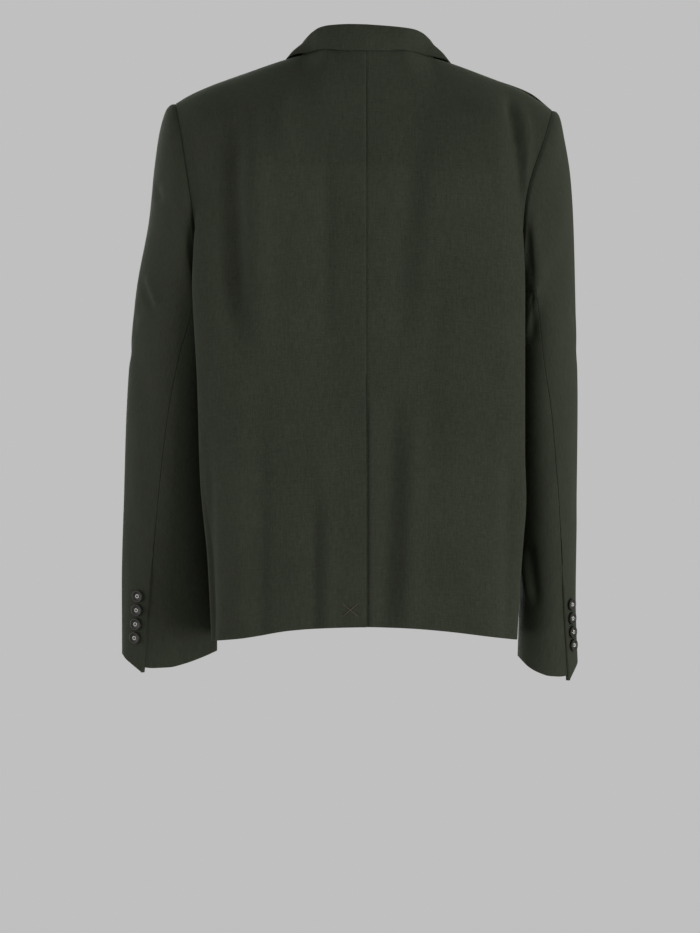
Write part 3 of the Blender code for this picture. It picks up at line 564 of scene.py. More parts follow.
def placed(mesh, finish):
    """The piece made of a mesh, with its finish, riding on the blazer."""
    mesh.materials.append(finish.material)
    piece = bpy.data.objects.new(mesh.name, mesh)
    bpy.context.scene.collection.objects.link(piece)
    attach(piece, "root")
    return piece


def shell(name, grid, outward, thick, finish, first, last, bottom, top, keep=None):
    """A closed shell of cloth with rounded edges, inward from a grid of points on its outside.

    First and last are the edges at the grid's first and last column, bottom and top those at its
    first and last row. Keep marks the cells that are there.
    """
    rows, columns = grid.shape[:2]
    facing = facing_of(grid, outward)
    if keep is None:
        keep = np.ones((rows - 1, columns - 1), bool)
    padded = np.pad(keep, 1)
    around = padded[1:, 1:].astype(int) + padded[1:, :-1] + padded[:-1, 1:] + padded[:-1, :-1]
    used = around > 0
    rim = used & (around < 4)

    outer_depth = np.zeros((rows, columns))
    inner_depth = np.zeros((rows, columns))
    for axis, before, after in ((1, first, last), (0, bottom, top)):
        at = lengths(grid, axis)
        start = np.where(used, at, np.inf).min(axis, keepdims=True)
        end = np.where(used, at, -np.inf).max(axis, keepdims=True)
        for away, (depth, width) in ((at - start, before), (end - at, after)):
            outer_depth = np.maximum(outer_depth, turned_in(np.abs(away), depth, width))
            inner_width = max(width, thick * INNER_ROUND)
            inner_depth = np.maximum(inner_depth, turned_in(np.abs(away), thick - depth, inner_width))
    outer_depth = np.where(rim & (outer_depth <= 0), thick / 2, outer_depth)

    outer = (grid - facing * outer_depth[..., None])[used]
    inside = used & ~rim
    inner = (grid - facing * (thick - inner_depth)[..., None])[inside]
    outer_number = np.full((rows, columns), -1)
    outer_number[used] = np.arange(used.sum())
    inner_number = outer_number.copy()
    inner_number[inside] = used.sum() + np.arange(inside.sum())
    i, j = np.nonzero(keep)
    faces = []
    for number, order in ((outer_number, 1), (inner_number, -1)):
        ring = np.stack([number[i, j], number[i, j + 1], number[i + 1, j + 1], number[i + 1, j]], 1)
        faces.append(ring if order * outward > 0 else ring[:, ::-1])
    faces = np.concatenate(faces)
    points = np.concatenate([outer, inner])
    spots = np.stack([lengths(grid, 1), lengths(grid, 0)], -1)
    spots = np.concatenate([spots[used], spots[inside]])

    mesh = bpy.data.meshes.new(name)
    mesh.vertices.add(len(points))
    mesh.vertices.foreach_set("co", points.ravel())
    mesh.loops.add(faces.size)
    mesh.loops.foreach_set("vertex_index", faces.ravel().astype(np.int32))
    mesh.polygons.add(len(faces))
    mesh.polygons.foreach_set("loop_start", np.arange(0, faces.size, 4, dtype=np.int32))
    mesh.polygons.foreach_set("use_smooth", np.ones(len(faces), bool))
    mesh.uv_layers.new(name="cloth").data.foreach_set("uv", spots[faces.ravel()].ravel())
    mesh.update(calc_edges=True)
    mesh.validate()
    return placed(mesh, finish)


THREAD_PAIR = 0.0011  # width of two threads of the weave
SHEEN = 0.05


def wool_suiting(name, dark, light):
    """Soft matt wool in a fine plain weave, its threads not all of one shade."""
    wool = Finish(name)
    cloth = wool.node("UVMap", {"uv_map": "cloth"})
    split = wool.node("SeparateXYZ", inputs={0: cloth})
    across, along = split, Wire(wool, split.socket.node.outputs[1])

    def streaks(scale, seed):
        place = {"Vector": cloth, "Scale": scale, "Location": (seed, seed, 0.0)}
        stretched = wool.node("Mapping", inputs=place)
        return wool.node("TexNoise", inputs={"Vector": stretched, "Scale": 1.0, "Detail": 2.0})

    warp = streaks((1250.0, 150.0, 1.0), 3.0)
    weft = streaks((150.0, 1250.0, 1.0), 17.0)
    slubs = 0.6 * streaks((560.0, 40.0, 1.0), 41.0) + 0.4 * streaks((40.0, 560.0, 1.0), 29.0)
    nap = streaks((14.0, 9.0, 1.0), 5.0)
    shade = 0.28 * warp + 0.24 * weft + 0.36 * slubs + 0.12 * nap
    tone = wool.node("MapRange", {}, {"Value": shade, 1: 0.40, 2: 0.60, 3: 0.0, 4: 1.0})
    colour = wool.node("Mix", {"data_type": "RGBA"}, {0: tone, 6: dark, 7: light}, output=2)
    waves = 2 * math.pi / THREAD_PAIR
    threads = (across * waves).sine() * (along * waves).sine()
    height = 0.35 * threads + 0.9 * warp + 0.9 * weft + 0.5 * slubs
    wool.set(
        Base_Color=colour,
        Roughness=0.80 + 0.16 * slubs,
        Specular_IOR_Level=0.12,
        Sheen_Weight=SHEEN,
        Sheen_Roughness=0.45,
        Sheen_Tint=(0.62, 0.80, 0.50, 1.0),
        Normal=wool.node("Bump", {}, {"Strength": 0.35, "Distance": 0.00035, "Height": height}),
    )
    return wool


WOOL = wool_suiting("wool_suiting", (0.0140, 0.0163, 0.0102, 1.0), (0.0250, 0.0282, 0.0188, 1.0))

# How many even places a piece gets across or along it, and the metres of cloth that it has there.
BACK_ACROSS = (104, 0.275)
UNDERLAP_ACROSS = (18, 0.045)
HEM_TO_ARM = (84, 0.42)
ARM_TO_SHOULDER = (96, 0.33)
below_arm = spread(0.0, UNDERARM, *HEM_TO_ARM)
arm_levels = spread(UNDERARM, 1.0, *ARM_TO_SHOULDER)
body_levels = np.concatenate([below_arm[:-CLOSE], arm_levels[CLOSE:]])

for side, sign in SIGN.items():
    places = spread(0.0, 1.0, *BACK_ACROSS)
    keep = None
    if side == "right":
        vent_level = body_levels[np.argmin(np.abs(body_levels - VENT_LEVEL))]
        underlap = spread(-UNDERLAP, 0.0, *UNDERLAP_ACROSS)[:-CLOSE]
        places = np.concatenate([underlap, places[places > 0]])
        places[np.argmax(places > 0) - 1] = SEAM_SHARE
        keep = np.ones((len(body_levels) - 1, len(places) - 1), bool)
        keep[np.ix_(body_levels[:-1] >= vent_level, places[1:] <= 0)] = False
    place, level = np.meshgrid(places, body_levels)
    rows = BACK_CREASES + SEAM_CREASES + (VENT_CREASES if side == "right" else ())
    grid = creased(body(side, place, level), -sign, {"behind": rows}, sewn=-1)
    edges = (SEAM_EDGE, SEAM_EDGE, FOLDED_EDGE, SEAM_EDGE)
    back = shell("wool_back_" + side, grid, -sign, CLOTH, WOOL, *edges, keep)
    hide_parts("back_" + side)


# ---- Fronts ----
# Each front runs from the side seam to the front edge, and above the top button to the roll line.
# The left one laps over the right one, as on a man's jacket. Nothing is let into them.
FRONT_ACROSS = (84, 0.27)
FRONT_CREASES = table("""
    top_a top_z end_a end_z wide height sharp
      0.12  -0.3   0.06 -0.395 0.016 -0.0016 2.0
    -0.126 -0.29  -0.07 -0.385 0.017 -0.0014 2.0
     0.138 -0.44  0.128  -0.64 0.019 -0.0022 2.0
    -0.132 -0.47 -0.136  -0.66 0.018 -0.0018 2.0
     0.182 -0.11  0.166  -0.21 0.012 -0.0016 2.0
     -0.18 -0.12 -0.168 -0.225 0.013 -0.0018 2.0
     0.072 -0.56  0.068  -0.68 0.016  0.0012 2.0
    -0.078 -0.54  -0.07  -0.68 0.017   0.001 2.0
""")

for side, sign in SIGN.items():
    place, level = np.meshgrid(spread(FRONT_START, 2.0, *FRONT_ACROSS), body_levels)
    grid = creased(body(side, place, level), -sign, {"before": FRONT_CREASES}, sewn=0)
    edges = (SEAM_EDGE, FOLDED_EDGE, FOLDED_EDGE, SEAM_EDGE)
    front = shell("wool_front_" + side, grid, -sign, CLOTH, WOOL, *edges)
    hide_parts("front_" + side)


# ---- Lapels ----
# Each lapel is the front turned back on its roll line, from the break above the top button up to
# the gorge. It lies on the front, springy along the roll and flat at its edge.
LAPEL = table("""
    level out_x
    0.45 -0.017
    0.50  0.028
    0.57  0.068
    0.68  0.102
    0.78  0.128
    0.87   0.15
""")
GORGE_LEVEL = UNDERARM + (1 - UNDERARM) * 8 / 12  # two thirds up the armhole
BREAK_LEVEL = 0.45
LAPEL_LIE = 0.0014  # air under the lapel
LAPEL_ROLL = 0.0015  # and this much more under its springy middle, in full from LAPEL_TOP up
LAPEL_TOP = 0.8
LAPEL_LEAST = 0.001
LAPEL_TRIES = np.linspace(2.0, 1.2, 401)  # places among which the lapel's edge is looked up
LAPEL_ALONG = (110, 0.28)
LAPEL_ACROSS = (34, 0.07)
ROLLED_EDGE = (CLOTH * 0.75, 0.0032)

for side, sign in SIGN.items():
    levels = spread(BREAK_LEVEL, GORGE_LEVEL, *LAPEL_ALONG)
    share, level = np.meshgrid(spread(0.0, 1.0, *LAPEL_ACROSS), levels)
    out_x = curve(LAPEL, "out_x", levels)
    reach = []
    for x, row in zip(out_x, body(side, LAPEL_TRIES[None, :], levels[:, None])[..., 0] * sign):
        reach.append(np.interp(max(x, row[0] + LAPEL_LEAST), row, LAPEL_TRIES))
    reach = np.array(reach)[:, None]
    grid = creased(body(side, reach + (2.0 - reach) * share, level), -sign, {"before": FRONT_CREASES})
    roll = np.sin(np.pi * share) * ramp(BREAK_LEVEL, LAPEL_TOP, level)
    grid = grid + facing_of(grid, -sign) * (CLOTH + LAPEL_LIE + LAPEL_ROLL * roll)[..., None]
    edges = (FOLDED_EDGE, ROLLED_EDGE, FOLDED_EDGE, FOLDED_EDGE)
    lapel = shell("wool_lapel_" + side, grid, -sign, CLOTH, WOOL, *edges)
    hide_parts("lapel_" + side)


# ---- Sleeves ----
# Two-piece sleeves: a top sleeve eased into the armhole over the shoulder, and a narrower under
# sleeve. The hind-arm seam opens in a short vent at the cuff, where the top sleeve laps over.
RINGS = {
    "left": table("""
        run out_x out_z in_x in_z mid_y deep hind fore
        0.00 0.2307 -0.048  0.174 -0.275  0.006 0.0665 120 255
        0.05   0.24 -0.053 0.1785 -0.292  0.006  0.068 119 254
        0.12 0.2495  -0.08 0.1815 -0.315  0.004 0.0685 118 252
        0.20 0.2562 -0.125 0.1825 -0.342      0  0.067 114 250
        0.30 0.2625 -0.186 0.1825 -0.374 -0.005 0.0645 108 247
        0.42  0.279 -0.278  0.182 -0.412 -0.009   0.06  98 243
        0.58   0.29 -0.405 0.1815  -0.47 -0.014  0.055  86 240
        0.75 0.2952  -0.54 0.1815  -0.56 -0.026  0.045  75 240
        0.88 0.2978 -0.635 0.1815 -0.642 -0.036  0.035  66 240
        1.00 0.2978 -0.717 0.1815 -0.711 -0.042  0.029  57 240
    """),
    "right": table("""
        run out_x out_z in_x in_z mid_y deep hind fore
        0.00 0.2259  -0.056  0.172  -0.28  0.005  0.065 120 255
        0.05  0.234 -0.0625  0.177 -0.296  0.005 0.0675 119 254
        0.12  0.241 -0.0925   0.18 -0.318  0.003  0.069 116 252
        0.20  0.248  -0.137  0.181 -0.345 -0.001  0.069 110 250
        0.30  0.252  -0.196 0.1815 -0.376 -0.008  0.067 105 247
        0.42 0.2545  -0.285 0.1815 -0.414 -0.012  0.067  98 243
        0.58 0.2575  -0.413  0.182 -0.472 -0.017  0.064  82 240
        0.75  0.257   -0.55 0.1845 -0.565 -0.027  0.059  68 240
        0.88 0.2562  -0.645  0.187 -0.648 -0.035  0.055  59 240
        1.00 0.2585  -0.722 0.1855 -0.716  -0.04  0.051  51 240
    """),
}
HEAD_RUN = 0.30  # down to here the rings keep something of the armhole's shape
CUFF_HEM = table("""
    share left_drop right_drop
    0.00      0      0
    0.20 0.0156 0.0205
    0.35 0.0182 0.0223
    0.50 0.0182 0.0224
    0.67 0.0147 0.0198
    0.84 0.0088 0.0142
    1.00  0.002 0.0035
""")
CUFF_TIP = 0.0065  # at the vent the top sleeve hangs this much below the under sleeve
CUFF_DIP_RUN = 0.7
CUFF_VENT = 0.855  # run at which the cuff's vent opens
CUFF_LAP = 2 / 15  # place to which the under sleeve runs on under the top sleeve
CUFF_CLOSES = 0.045
HEAD_FULL = 0.0012  # the sleeve head stands this much fuller just outside the armhole seam
HEAD_FULL_RUN = 0.022
SLEEVE_ALONG = (190, 0.66)
TOP_ACROSS = (88, 0.24)
UNDER_ACROSS = (50, 0.15)
CUFF_LAP_ACROSS = (10, 0.03)
SLEEVE_CREASES = {
    "behind": table("""
        top_a top_z end_a end_z wide height sharp
          0.268 -0.256   0.248 -0.298  0.005  0.0036 1.8
          0.274  -0.25   0.256 -0.308  0.007 -0.0034 1.8
          0.256 -0.145   0.246 -0.172  0.006 -0.0028 1.8
          0.284  -0.32   0.258  -0.43  0.012 -0.0018 2.0
          0.272  -0.42    0.28  -0.56  0.011  0.0016 2.0
          -0.19  -0.19 -0.1985 -0.275 0.0055 -0.0035 1.8
         -0.196  -0.26  -0.201 -0.345 0.0055 -0.0028 1.8
         -0.196 -0.276  -0.208 -0.279 0.0045  0.0016 1.8
         -0.196 -0.288  -0.207  -0.29 0.0035 -0.0012 1.8
          -0.22  -0.15  -0.226  -0.25  0.012  0.0016 2.0
        -0.1885  -0.58  -0.199  -0.66 0.0055  0.0038 1.8
         -0.195  -0.57  -0.206 -0.665  0.006 -0.0036 1.8
         -0.229  -0.36  -0.224  -0.52  0.014 -0.0016 2.0
    """),
    "outside": table("""
        top_a top_z end_a end_z wide height sharp
         0.03 -0.29     0 -0.32 0.012 -0.0018 1.8
        -0.04 -0.33     0 -0.36 0.011  -0.002 1.8
        0.015 -0.43 -0.01 -0.56 0.016 -0.0014 2.0
    """),
    "before": table("""
        top_a top_z end_a end_z wide height sharp
         0.244 -0.335  0.215  -0.37  0.01 -0.0022 1.8
         0.248  -0.38  0.218 -0.402 0.009 -0.0018 1.8
        -0.224  -0.34 -0.202 -0.372  0.01 -0.0022 1.8
         -0.23  -0.39 -0.206  -0.41 0.009 -0.0018 1.8
    """),
}


def sleeve(side, place, run):
    """A point of a sleeve. The hind-arm seam is at place 0, the fore-arm seam at 1 and -1."""
    place, run = np.broadcast_arrays(np.asarray(place, float), np.asarray(run, float))
    rows = RINGS[side]
    ring = {name: curve(rows, name, run) for name in rows[0]}
    turn = np.where(
        place >= 0,
        ring["hind"] - place * (ring["hind"] - ring["fore"] + 360),
        ring["hind"] - place * (ring["fore"] - ring["hind"]),
    )
    out, back = np.cos(np.radians(turn)), np.sin(np.radians(turn))
    half_out, half_in = (1 + out) / 2, (1 - out) / 2
    x = ring["out_x"] * half_out + ring["in_x"] * half_in
    z = ring["out_z"] * half_out + ring["in_z"] * half_in
    y = ring["mid_y"] + ring["deep"] * back

    # Near the armhole the ring takes the armhole's own shape.
    hole_x, hole_y, hole_z = armhole(side, turn)
    first = rows[0]
    near = 1 - ramp(0.0, HEAD_RUN, run)
    x = x + near * (hole_x - first["out_x"] * half_out - first["in_x"] * half_in)
    z = z + near * (hole_z - first["out_z"] * half_out - first["in_z"] * half_in)
    y = y + near * (hole_y - first["mid_y"] - first["deep"] * back)

    # The hem drops across the back, in a straight line from the outer edge to the hind-arm seam.
    column = side + "_drop"
    seam_share = (1 - np.cos(np.radians(ring["hind"]))) / 2
    straight = (curve(CUFF_HEM, column, seam_share) + CUFF_TIP) * half_in / seam_share
    drop = np.where(place > 0, straight, curve(CUFF_HEM, column, half_in))
    drop = np.where(back > 0, drop, CUFF_HEM[-1][column] * half_in)
    z = z - drop * ramp(CUFF_DIP_RUN, 1.0, run)
    return np.stack([x * SIGN[side], y, z], -1)


def fuller(grid, outward, run):
    """The sleeve head, eased into the seam so that it stands a little proud of it."""
    swell = np.exp(-(((run - HEAD_FULL_RUN) / HEAD_FULL_RUN) ** 2)) * ramp(0.0, HEAD_FULL_RUN, run)
    return grid + facing_of(grid, outward) * (HEAD_FULL * swell)[..., None]


def top_sleeve(side, place, run):
    """The outside of a top sleeve, raised where it laps over the cuff's vent."""
    sign = SIGN[side]
    grid = sleeve(side, place, run)
    lap = (1 - ramp(CUFF_LAP, CUFF_LAP * 2, place)) * ramp(CUFF_VENT - CUFF_CLOSES, CUFF_VENT, run)
    grid = grid + facing_of(grid, sign) * ((CLOTH + LIE) * lap)[..., None]
    return creased(fuller(grid, sign, run), sign, SLEEVE_CREASES)


runs = spread(0.0, 1.0, *SLEEVE_ALONG)
vent_run = runs[np.argmin(np.abs(runs - CUFF_VENT))]
for side, sign in SIGN.items():
    place, run = np.meshgrid(spread(0.0, 1.0, *TOP_ACROSS), runs)
    grid = top_sleeve(side, place, run)
    edges = (SEAM_EDGE, SEAM_EDGE, SEAM_EDGE, FOLDED_EDGE)
    over = shell("wool_top_sleeve_" + side, grid, sign, CLOTH, WOOL, *edges)
    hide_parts("top_sleeve_" + side)

    underlap = spread(0.0, CUFF_LAP, *CUFF_LAP_ACROSS)[1:]
    places = np.concatenate([spread(-1.0, 0.0, *UNDER_ACROSS), underlap])
    keep = np.ones((len(runs) - 1, len(places) - 1), bool)
    keep[np.ix_(runs[1:] <= vent_run, places[:-1] >= 0)] = False
    place, run = np.meshgrid(places, runs)
    grid = creased(fuller(sleeve(side, place, run), sign, run), sign, SLEEVE_CREASES)
    under = shell("wool_under_sleeve_" + side, grid, sign, CLOTH, WOOL, *edges, keep)
    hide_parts("under_sleeve_" + side)


# ---- Collar ----
# One collar round the neck: a stand sewn to the neckline, a soft roll, and a fall that covers the
# neck seam at the back and ends in front in a notch above the lapels.
COLLAR = table("""
    reach fold_x fold_y left_fold_z right_fold_z edge_x edge_y left_edge_z right_edge_z
    0.00     0  0.053 0.0425 0.0425      0   0.063  0.0108  0.0106
    0.13 0.023 0.0505 0.0432 0.0412 0.0222  0.0603  0.0108  0.0105
    0.25 0.044  0.042 0.0427   0.04  0.043   0.052   0.013   0.012
    0.33 0.055  0.035  0.041 0.0388  0.057   0.033   0.014  0.0114
    0.40 0.063  0.024 0.0368  0.036  0.069   0.011  0.0129  0.0098
    0.46  0.07  0.009 0.0315  0.031  0.081   0.001  0.0124   0.008
    0.50 0.074 -0.004  0.027 0.0262 0.0952  -0.006  0.0084  0.0042
    0.60 0.077  -0.02 0.0185 0.0165 0.1012  -0.021  0.0008  -0.004
    0.75 0.078  -0.04  0.003      0  0.108  -0.046   -0.02 -0.0262
    1.00  0.07 -0.072 -0.036 -0.039  0.118 -0.0785 -0.0555 -0.0625
""")
COLLAR_CLOTH = 0.0017
COLLAR_EDGE = (COLLAR_CLOTH / 2, 0.0010)
FOLD_ROUND = 0.0034  # radius of the roll
FALL_ROUND = 0.0015  # the fall bulges this much between roll and edge
NOTCH = 0.16
NOTCH_FROM = 0.8
NECK_REACH = 0.5  # reach at the shoulder seam, from the centre back at 0 to the front end at 1
FRONT_INSET = 1.1  # the front's facing is taken no nearer to the side seam than this
WIDE_REACHES = (0.1, 0.5)
COLLAR_CELLS = 100
COLLAR_END = 0.9
COLLAR_END_ACROSS = (8, 0.013)
STAND_ALONG = (10, 0.03)
ROLL_ROWS = 14
FALL_ALONG = (22, 0.035)
STEP = 1e-4


def neck_facing(side, place, level, first, last):
    """Which way the body faces along the neck seam."""
    after, before = np.minimum(place + STEP, last), np.maximum(place - STEP, first)
    across = body(side, after, level) - body(side, before, level)
    along = body(side, place, level + STEP) - body(side, place, level - STEP)
    return -SIGN[side] * unit(np.cross(across, along))


def collar_half(side, ends):
    """Half the collar's cross-sections, from the centre back to the front end."""
    wide = (1 + (NECK_WIDTH[side] - 1) * ramp(*WIDE_REACHES, ends)) * SIGN[side]

    def line_of(name, at):
        columns = (name + "_x", name + "_y", side + "_" + name + "_z")
        points = [curve(COLLAR, column, at) for column in columns]
        return np.stack([points[0] * wide, points[1], points[2]], -1)

    fold = line_of("fold", ends)
    on_back = ends <= NECK_REACH
    place = np.where(on_back, NECK_POINT * ends / NECK_REACH, 2.0)
    level = np.where(on_back, 1.0, 1 - (ends - NECK_REACH) / (1 - NECK_REACH) * (1 - GORGE_LEVEL))
    facing = np.where(
        on_back[:, None],
        neck_facing(side, np.minimum(place, 1), level, -1.0, 1.0),
        neck_facing(side, np.maximum(place, FRONT_INSET), level, FRONT_INSET, 2.0),
    )
    seam = body(side, place, level) - facing * CLOTH
    rise = unit(fold - seam)
    seam = seam + rise * LIE
    middle = fold - rise * FOLD_ROUND
    edge = line_of("edge", ends - NOTCH * ramp(NOTCH_FROM, 1.0, ends))
    out = edge - fold
    out = unit(out - rise * np.sum(out * rise, -1, keepdims=True))
    inner = middle - out * FOLD_ROUND
    outer = middle + out * FOLD_ROUND
    fullness = unit(np.cross(np.gradient(fold, axis=0), edge - outer)) * SIGN[side] * FALL_ROUND
    stand = [seam + (inner - seam) * share for share in spread(0.0, 1.0, *STAND_ALONG)]
    turns = np.radians(np.linspace(-90, 90, ROLL_ROWS + 1))[1:-1]
    roll = [middle + (rise * np.cos(turn) + out * np.sin(turn)) * FOLD_ROUND for turn in turns]
    fall = [
        outer + (edge - outer) * share + fullness * math.sin(math.pi * share)
        for share in spread(0.0, 1.0, *FALL_ALONG)
    ]
    return np.stack(stand + roll + fall, 0)


collar_end = spread(COLLAR_END, 1.0, *COLLAR_END_ACROSS)[1:]
reaches = np.concatenate([np.linspace(0.0, COLLAR_END, COLLAR_CELLS), collar_end])
left, right = collar_half("left", reaches), collar_half("right", reaches)
middle = (left[:, :1] + right[:, :1]) / 2
middle[..., 0] = 0
grid = np.concatenate([right[:, :0:-1], middle, left[:, 1:]], axis=1)
collar = shell("wool_collar", grid, 1.0, COLLAR_CLOTH, WOOL, *4 * [COLLAR_EDGE])
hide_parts("collar")


# ---- Buttons ----
# Four-hole buttons in dark horn, dished with a raised rim: four down each cuff, nearly touching,
# and two larger ones that close the front. Pale thread shows in a small square between the holes.
CUFF_BUTTON_ACROSS = 0.0150
CUFF_BUTTON_PLACE = 0.072
CUFF_BUTTON_RUNS = (0.877, 0.900, 0.924, 0.948)
CUFF_TILTS = {"left": (4, 38, 12, 8), "right": (10, -20, 30, 5)}  # how far each is turned, in degrees
FRONT_BUTTON_ACROSS = 0.0210
FRONT_BUTTON_Z = {"upper": -0.405, "lower": -0.505}
FRONT_TILT = 8
BUTTON_THICK = 0.0034
BUTTON_LIE = 0.0007
BUTTON_SIDES = 56
BUTTON_RINGS = table("""
    share rise
    0.00 0.00
    0.78 0.00
    0.90 0.06
    0.97 0.20
    1.00 0.38
    1.00 0.62
    0.98 0.82
    0.93 0.95
    0.86 1.00
    0.79 0.99
    0.73 0.93
    0.67 0.80
    0.60 0.68
    0.50 0.63
    0.42 0.62
    0.36 0.61
    0.30 0.61
    0.24 0.60
    0.18 0.60
    0.12 0.60
    0.06 0.60
    0.00 0.60
""")
HOLES_ACROSS = 0.33  # the holes stand this share of the button's radius from its middle
HOLE_WALL = (0.085 * 0.6, 0.085 * 1.25)  # a hole's bottom and top radius, as shares of the button's
HOLE_DEEP = 0.45
THREAD_ROUND = 0.00044
THREAD_LIFT = 0.62  # height of the thread as a share of the button's, before it arches and sinks
THREAD_ARCH = 0.12
THREAD_SINK = 0.35
THREAD_RISE = 3  # how steeply it comes out of its hole
THREAD_STEPS = 9
STEEP = 0.9


def horn_button(name):
    """Polished dark horn, clouded with brown and green."""
    horn = Finish(name)
    spot = horn.node("TexCoord", output="Object")
    cloud = horn.node("TexNoise", inputs={"Vector": spot, "Scale": 260.0, "Detail": 3.0, "Distortion": 1.2})
    streak = horn.node("MapRange", {}, {"Value": cloud, 1: 0.35, 2: 0.7, 3: 0.0, 4: 1.0})
    fine = horn.node("TexNoise", inputs={"Vector": spot, "Scale": 2200.0, "Detail": 2.0})
    colours = {6: (0.0045, 0.0048, 0.0036, 1.0), 7: (0.0150, 0.0125, 0.0085, 1.0)}
    colour = horn.node("Mix", {"data_type": "RGBA"}, {0: streak, **colours}, output=2)
    horn.set(
        Base_Color=colour,
        Roughness=0.40 + 0.2 * fine,
        Specular_IOR_Level=0.3,
        Normal=horn.node("Bump", {}, {"Strength": 0.12, "Distance": 0.0001, "Height": fine}),
    )
    return horn


def sewing_thread(name, colour):
    """Twisted thread, a little fuzzy."""
    thread = Finish(name)
    spot = thread.node("TexCoord", output="Object")
    fuzz = thread.node("TexNoise", inputs={"Vector": spot, "Scale": 4000.0, "Detail": 2.0})
    colours = {6: tuple(0.6 * part for part in colour) + (1.0,), 7: colour + (1.0,)}
    tint = thread.node("Mix", {"data_type": "RGBA"}, {0: fuzz, **colours}, output=2)
    thread.set(
        Base_Color=tint,
        Roughness=0.7 + 0.2 * fuzz,
        Normal=thread.node("Bump", {}, {"Strength": 0.3, "Distance": 0.0001, "Height": fuzz}),
    )
    return thread


HORN = horn_button("horn_button")
PALE_THREAD = sewing_thread("pale_thread", (0.58, 0.59, 0.53))


def mesh_piece(name, points, faces, finish, slot):
    """A smooth mesh that rides on the blazer."""
    mesh = bpy.data.meshes.new(name)
    mesh.from_pydata([tuple(point) for point in points], [], faces)
    mesh.polygons.foreach_set("use_smooth", [True] * len(mesh.polygons))
    mesh.update()
    return placed(mesh, finish)


def strand(points, radius, sides=8):
    """A round thread along a line of points, closed at both ends: its points and faces."""
    points = np.asarray(points, float)
    along = unit(np.gradient(points, axis=0))
    steep = np.abs(along[:, 2:]) >= STEEP
    aside = unit(np.cross(along, np.where(steep, (1.0, 0.0, 0.0), (0.0, 0.0, 1.0))))[:, None]
    upward = np.cross(along[:, None], aside)
    turns = np.linspace(0, 2 * math.pi, sides, endpoint=False)[None, :, None]
    rings = points[:, None] + radius * (np.cos(turns) * aside + np.sin(turns) * upward)
    faces = []
    for ring in range(len(points) - 1):
        for turn in range(sides):
            following = (turn + 1) % sides
            first, second = ring * sides, (ring + 1) * sides
            faces.append([first + turn, first + following, second + following, second + turn])
    faces.append(list(range(sides))[::-1])
    faces.append([(len(points) - 1) * sides + turn for turn in range(sides)])
    return rings.reshape(-1, 3), faces


def joined(strands):
    """Several strands as one list of points and one of faces."""
    points, faces = [], []
    for some_points, some_faces in strands:
        faces.extend([[corner + len(points) for corner in face] for face in some_faces])
        points.extend(some_points)
    return points, faces


def button(node, centre, axis, across, tilt):
    """A button with its holes, and the square of thread that sews it on."""
    radius = across / 2
    axis = axis / np.linalg.norm(axis)
    aside = unit(np.cross(axis, (0.0, 0.0, 1.0)))
    upward = np.cross(aside, axis)

    def point_at(a, b, height):
        return centre + radius * (a * aside + b * upward) + axis * BUTTON_THICK * height

    corners = [math.radians(tilt + 45 + 90 * corner) for corner in range(4)]
    holes = [(HOLES_ACROSS * math.cos(turn), HOLES_ACROSS * math.sin(turn)) for turn in corners]
    turns = np.linspace(0, 2 * math.pi, BUTTON_SIDES, endpoint=False)
    points = []
    for number, ring in enumerate(BUTTON_RINGS):
        a, b = ring["share"] * np.cos(turns), ring["share"] * np.sin(turns)
        height = np.full_like(a, ring["rise"])
        if number > len(BUTTON_RINGS) // 2:
            for hole in holes:
                height -= HOLE_DEEP * (1 - ramp(*HOLE_WALL, np.hypot(a - hole[0], b - hole[1])))
        around = point_at(a[:, None], b[:, None], height[:, None])
        points.extend(around if ring["share"] else around[:1])
    faces = []
    last = 1 + (len(BUTTON_RINGS) - 3) * BUTTON_SIDES
    for turn in range(BUTTON_SIDES):
        following = (turn + 1) % BUTTON_SIDES
        faces.append([0, 1 + turn, 1 + following])
        for ring in range(len(BUTTON_RINGS) - 3):
            first = 1 + ring * BUTTON_SIDES
            second = first + BUTTON_SIDES
            faces.append([first + turn, second + turn, second + following, first + following])
        faces.append([last + turn, last + BUTTON_SIDES, last + following])
    piece = mesh_piece("horn_" + node, points, faces, HORN, "horn_button")
    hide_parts(node)

    strands = []
    for hole, following in zip(holes, holes[1:] + holes[:1]):
        line = []
        for share in np.linspace(0, 1, THREAD_STEPS):
            a = hole[0] + (following[0] - hole[0]) * share
            b = hole[1] + (following[1] - hole[1]) * share
            arch = math.sin(math.pi * share)
            lift = THREAD_LIFT + THREAD_ARCH * arch - THREAD_SINK * (1 - min(1.0, arch * THREAD_RISE))
            line.append(point_at(a, b, lift))
        strands.append(strand(line, THREAD_ROUND))
    mesh_piece("thread_" + node, *joined(strands), PALE_THREAD, "horn_button")


def nearest_to(grid, x, z):
    """Where in a grid the point nearest to a spot is, as seen along the depth."""
    away = np.hypot(grid[..., 0] - x, grid[..., 2] - z)
    return np.unravel_index(np.argmin(away), away.shape)


# The cloth under a cuff button, in the middle of three points by three, says how the button lies.
PATCH_PLACES = CUFF_BUTTON_PLACE + np.array([-0.004, 0.0, 0.004])
PATCH_RUNS = np.array([-0.002, 0.0, 0.002])
for side, sign in SIGN.items():
    for number, (at, tilt) in enumerate(zip(CUFF_BUTTON_RUNS, CUFF_TILTS[side])):
        patch = top_sleeve(side, *np.meshgrid(PATCH_PLACES, at + PATCH_RUNS))
        axis = facing_of(patch, sign)[1, 1]
        centre = patch[1, 1] + axis * BUTTON_LIE
        button(f"cuff_button_{side}_{number + 1}", centre, axis, CUFF_BUTTON_ACROSS, tilt)

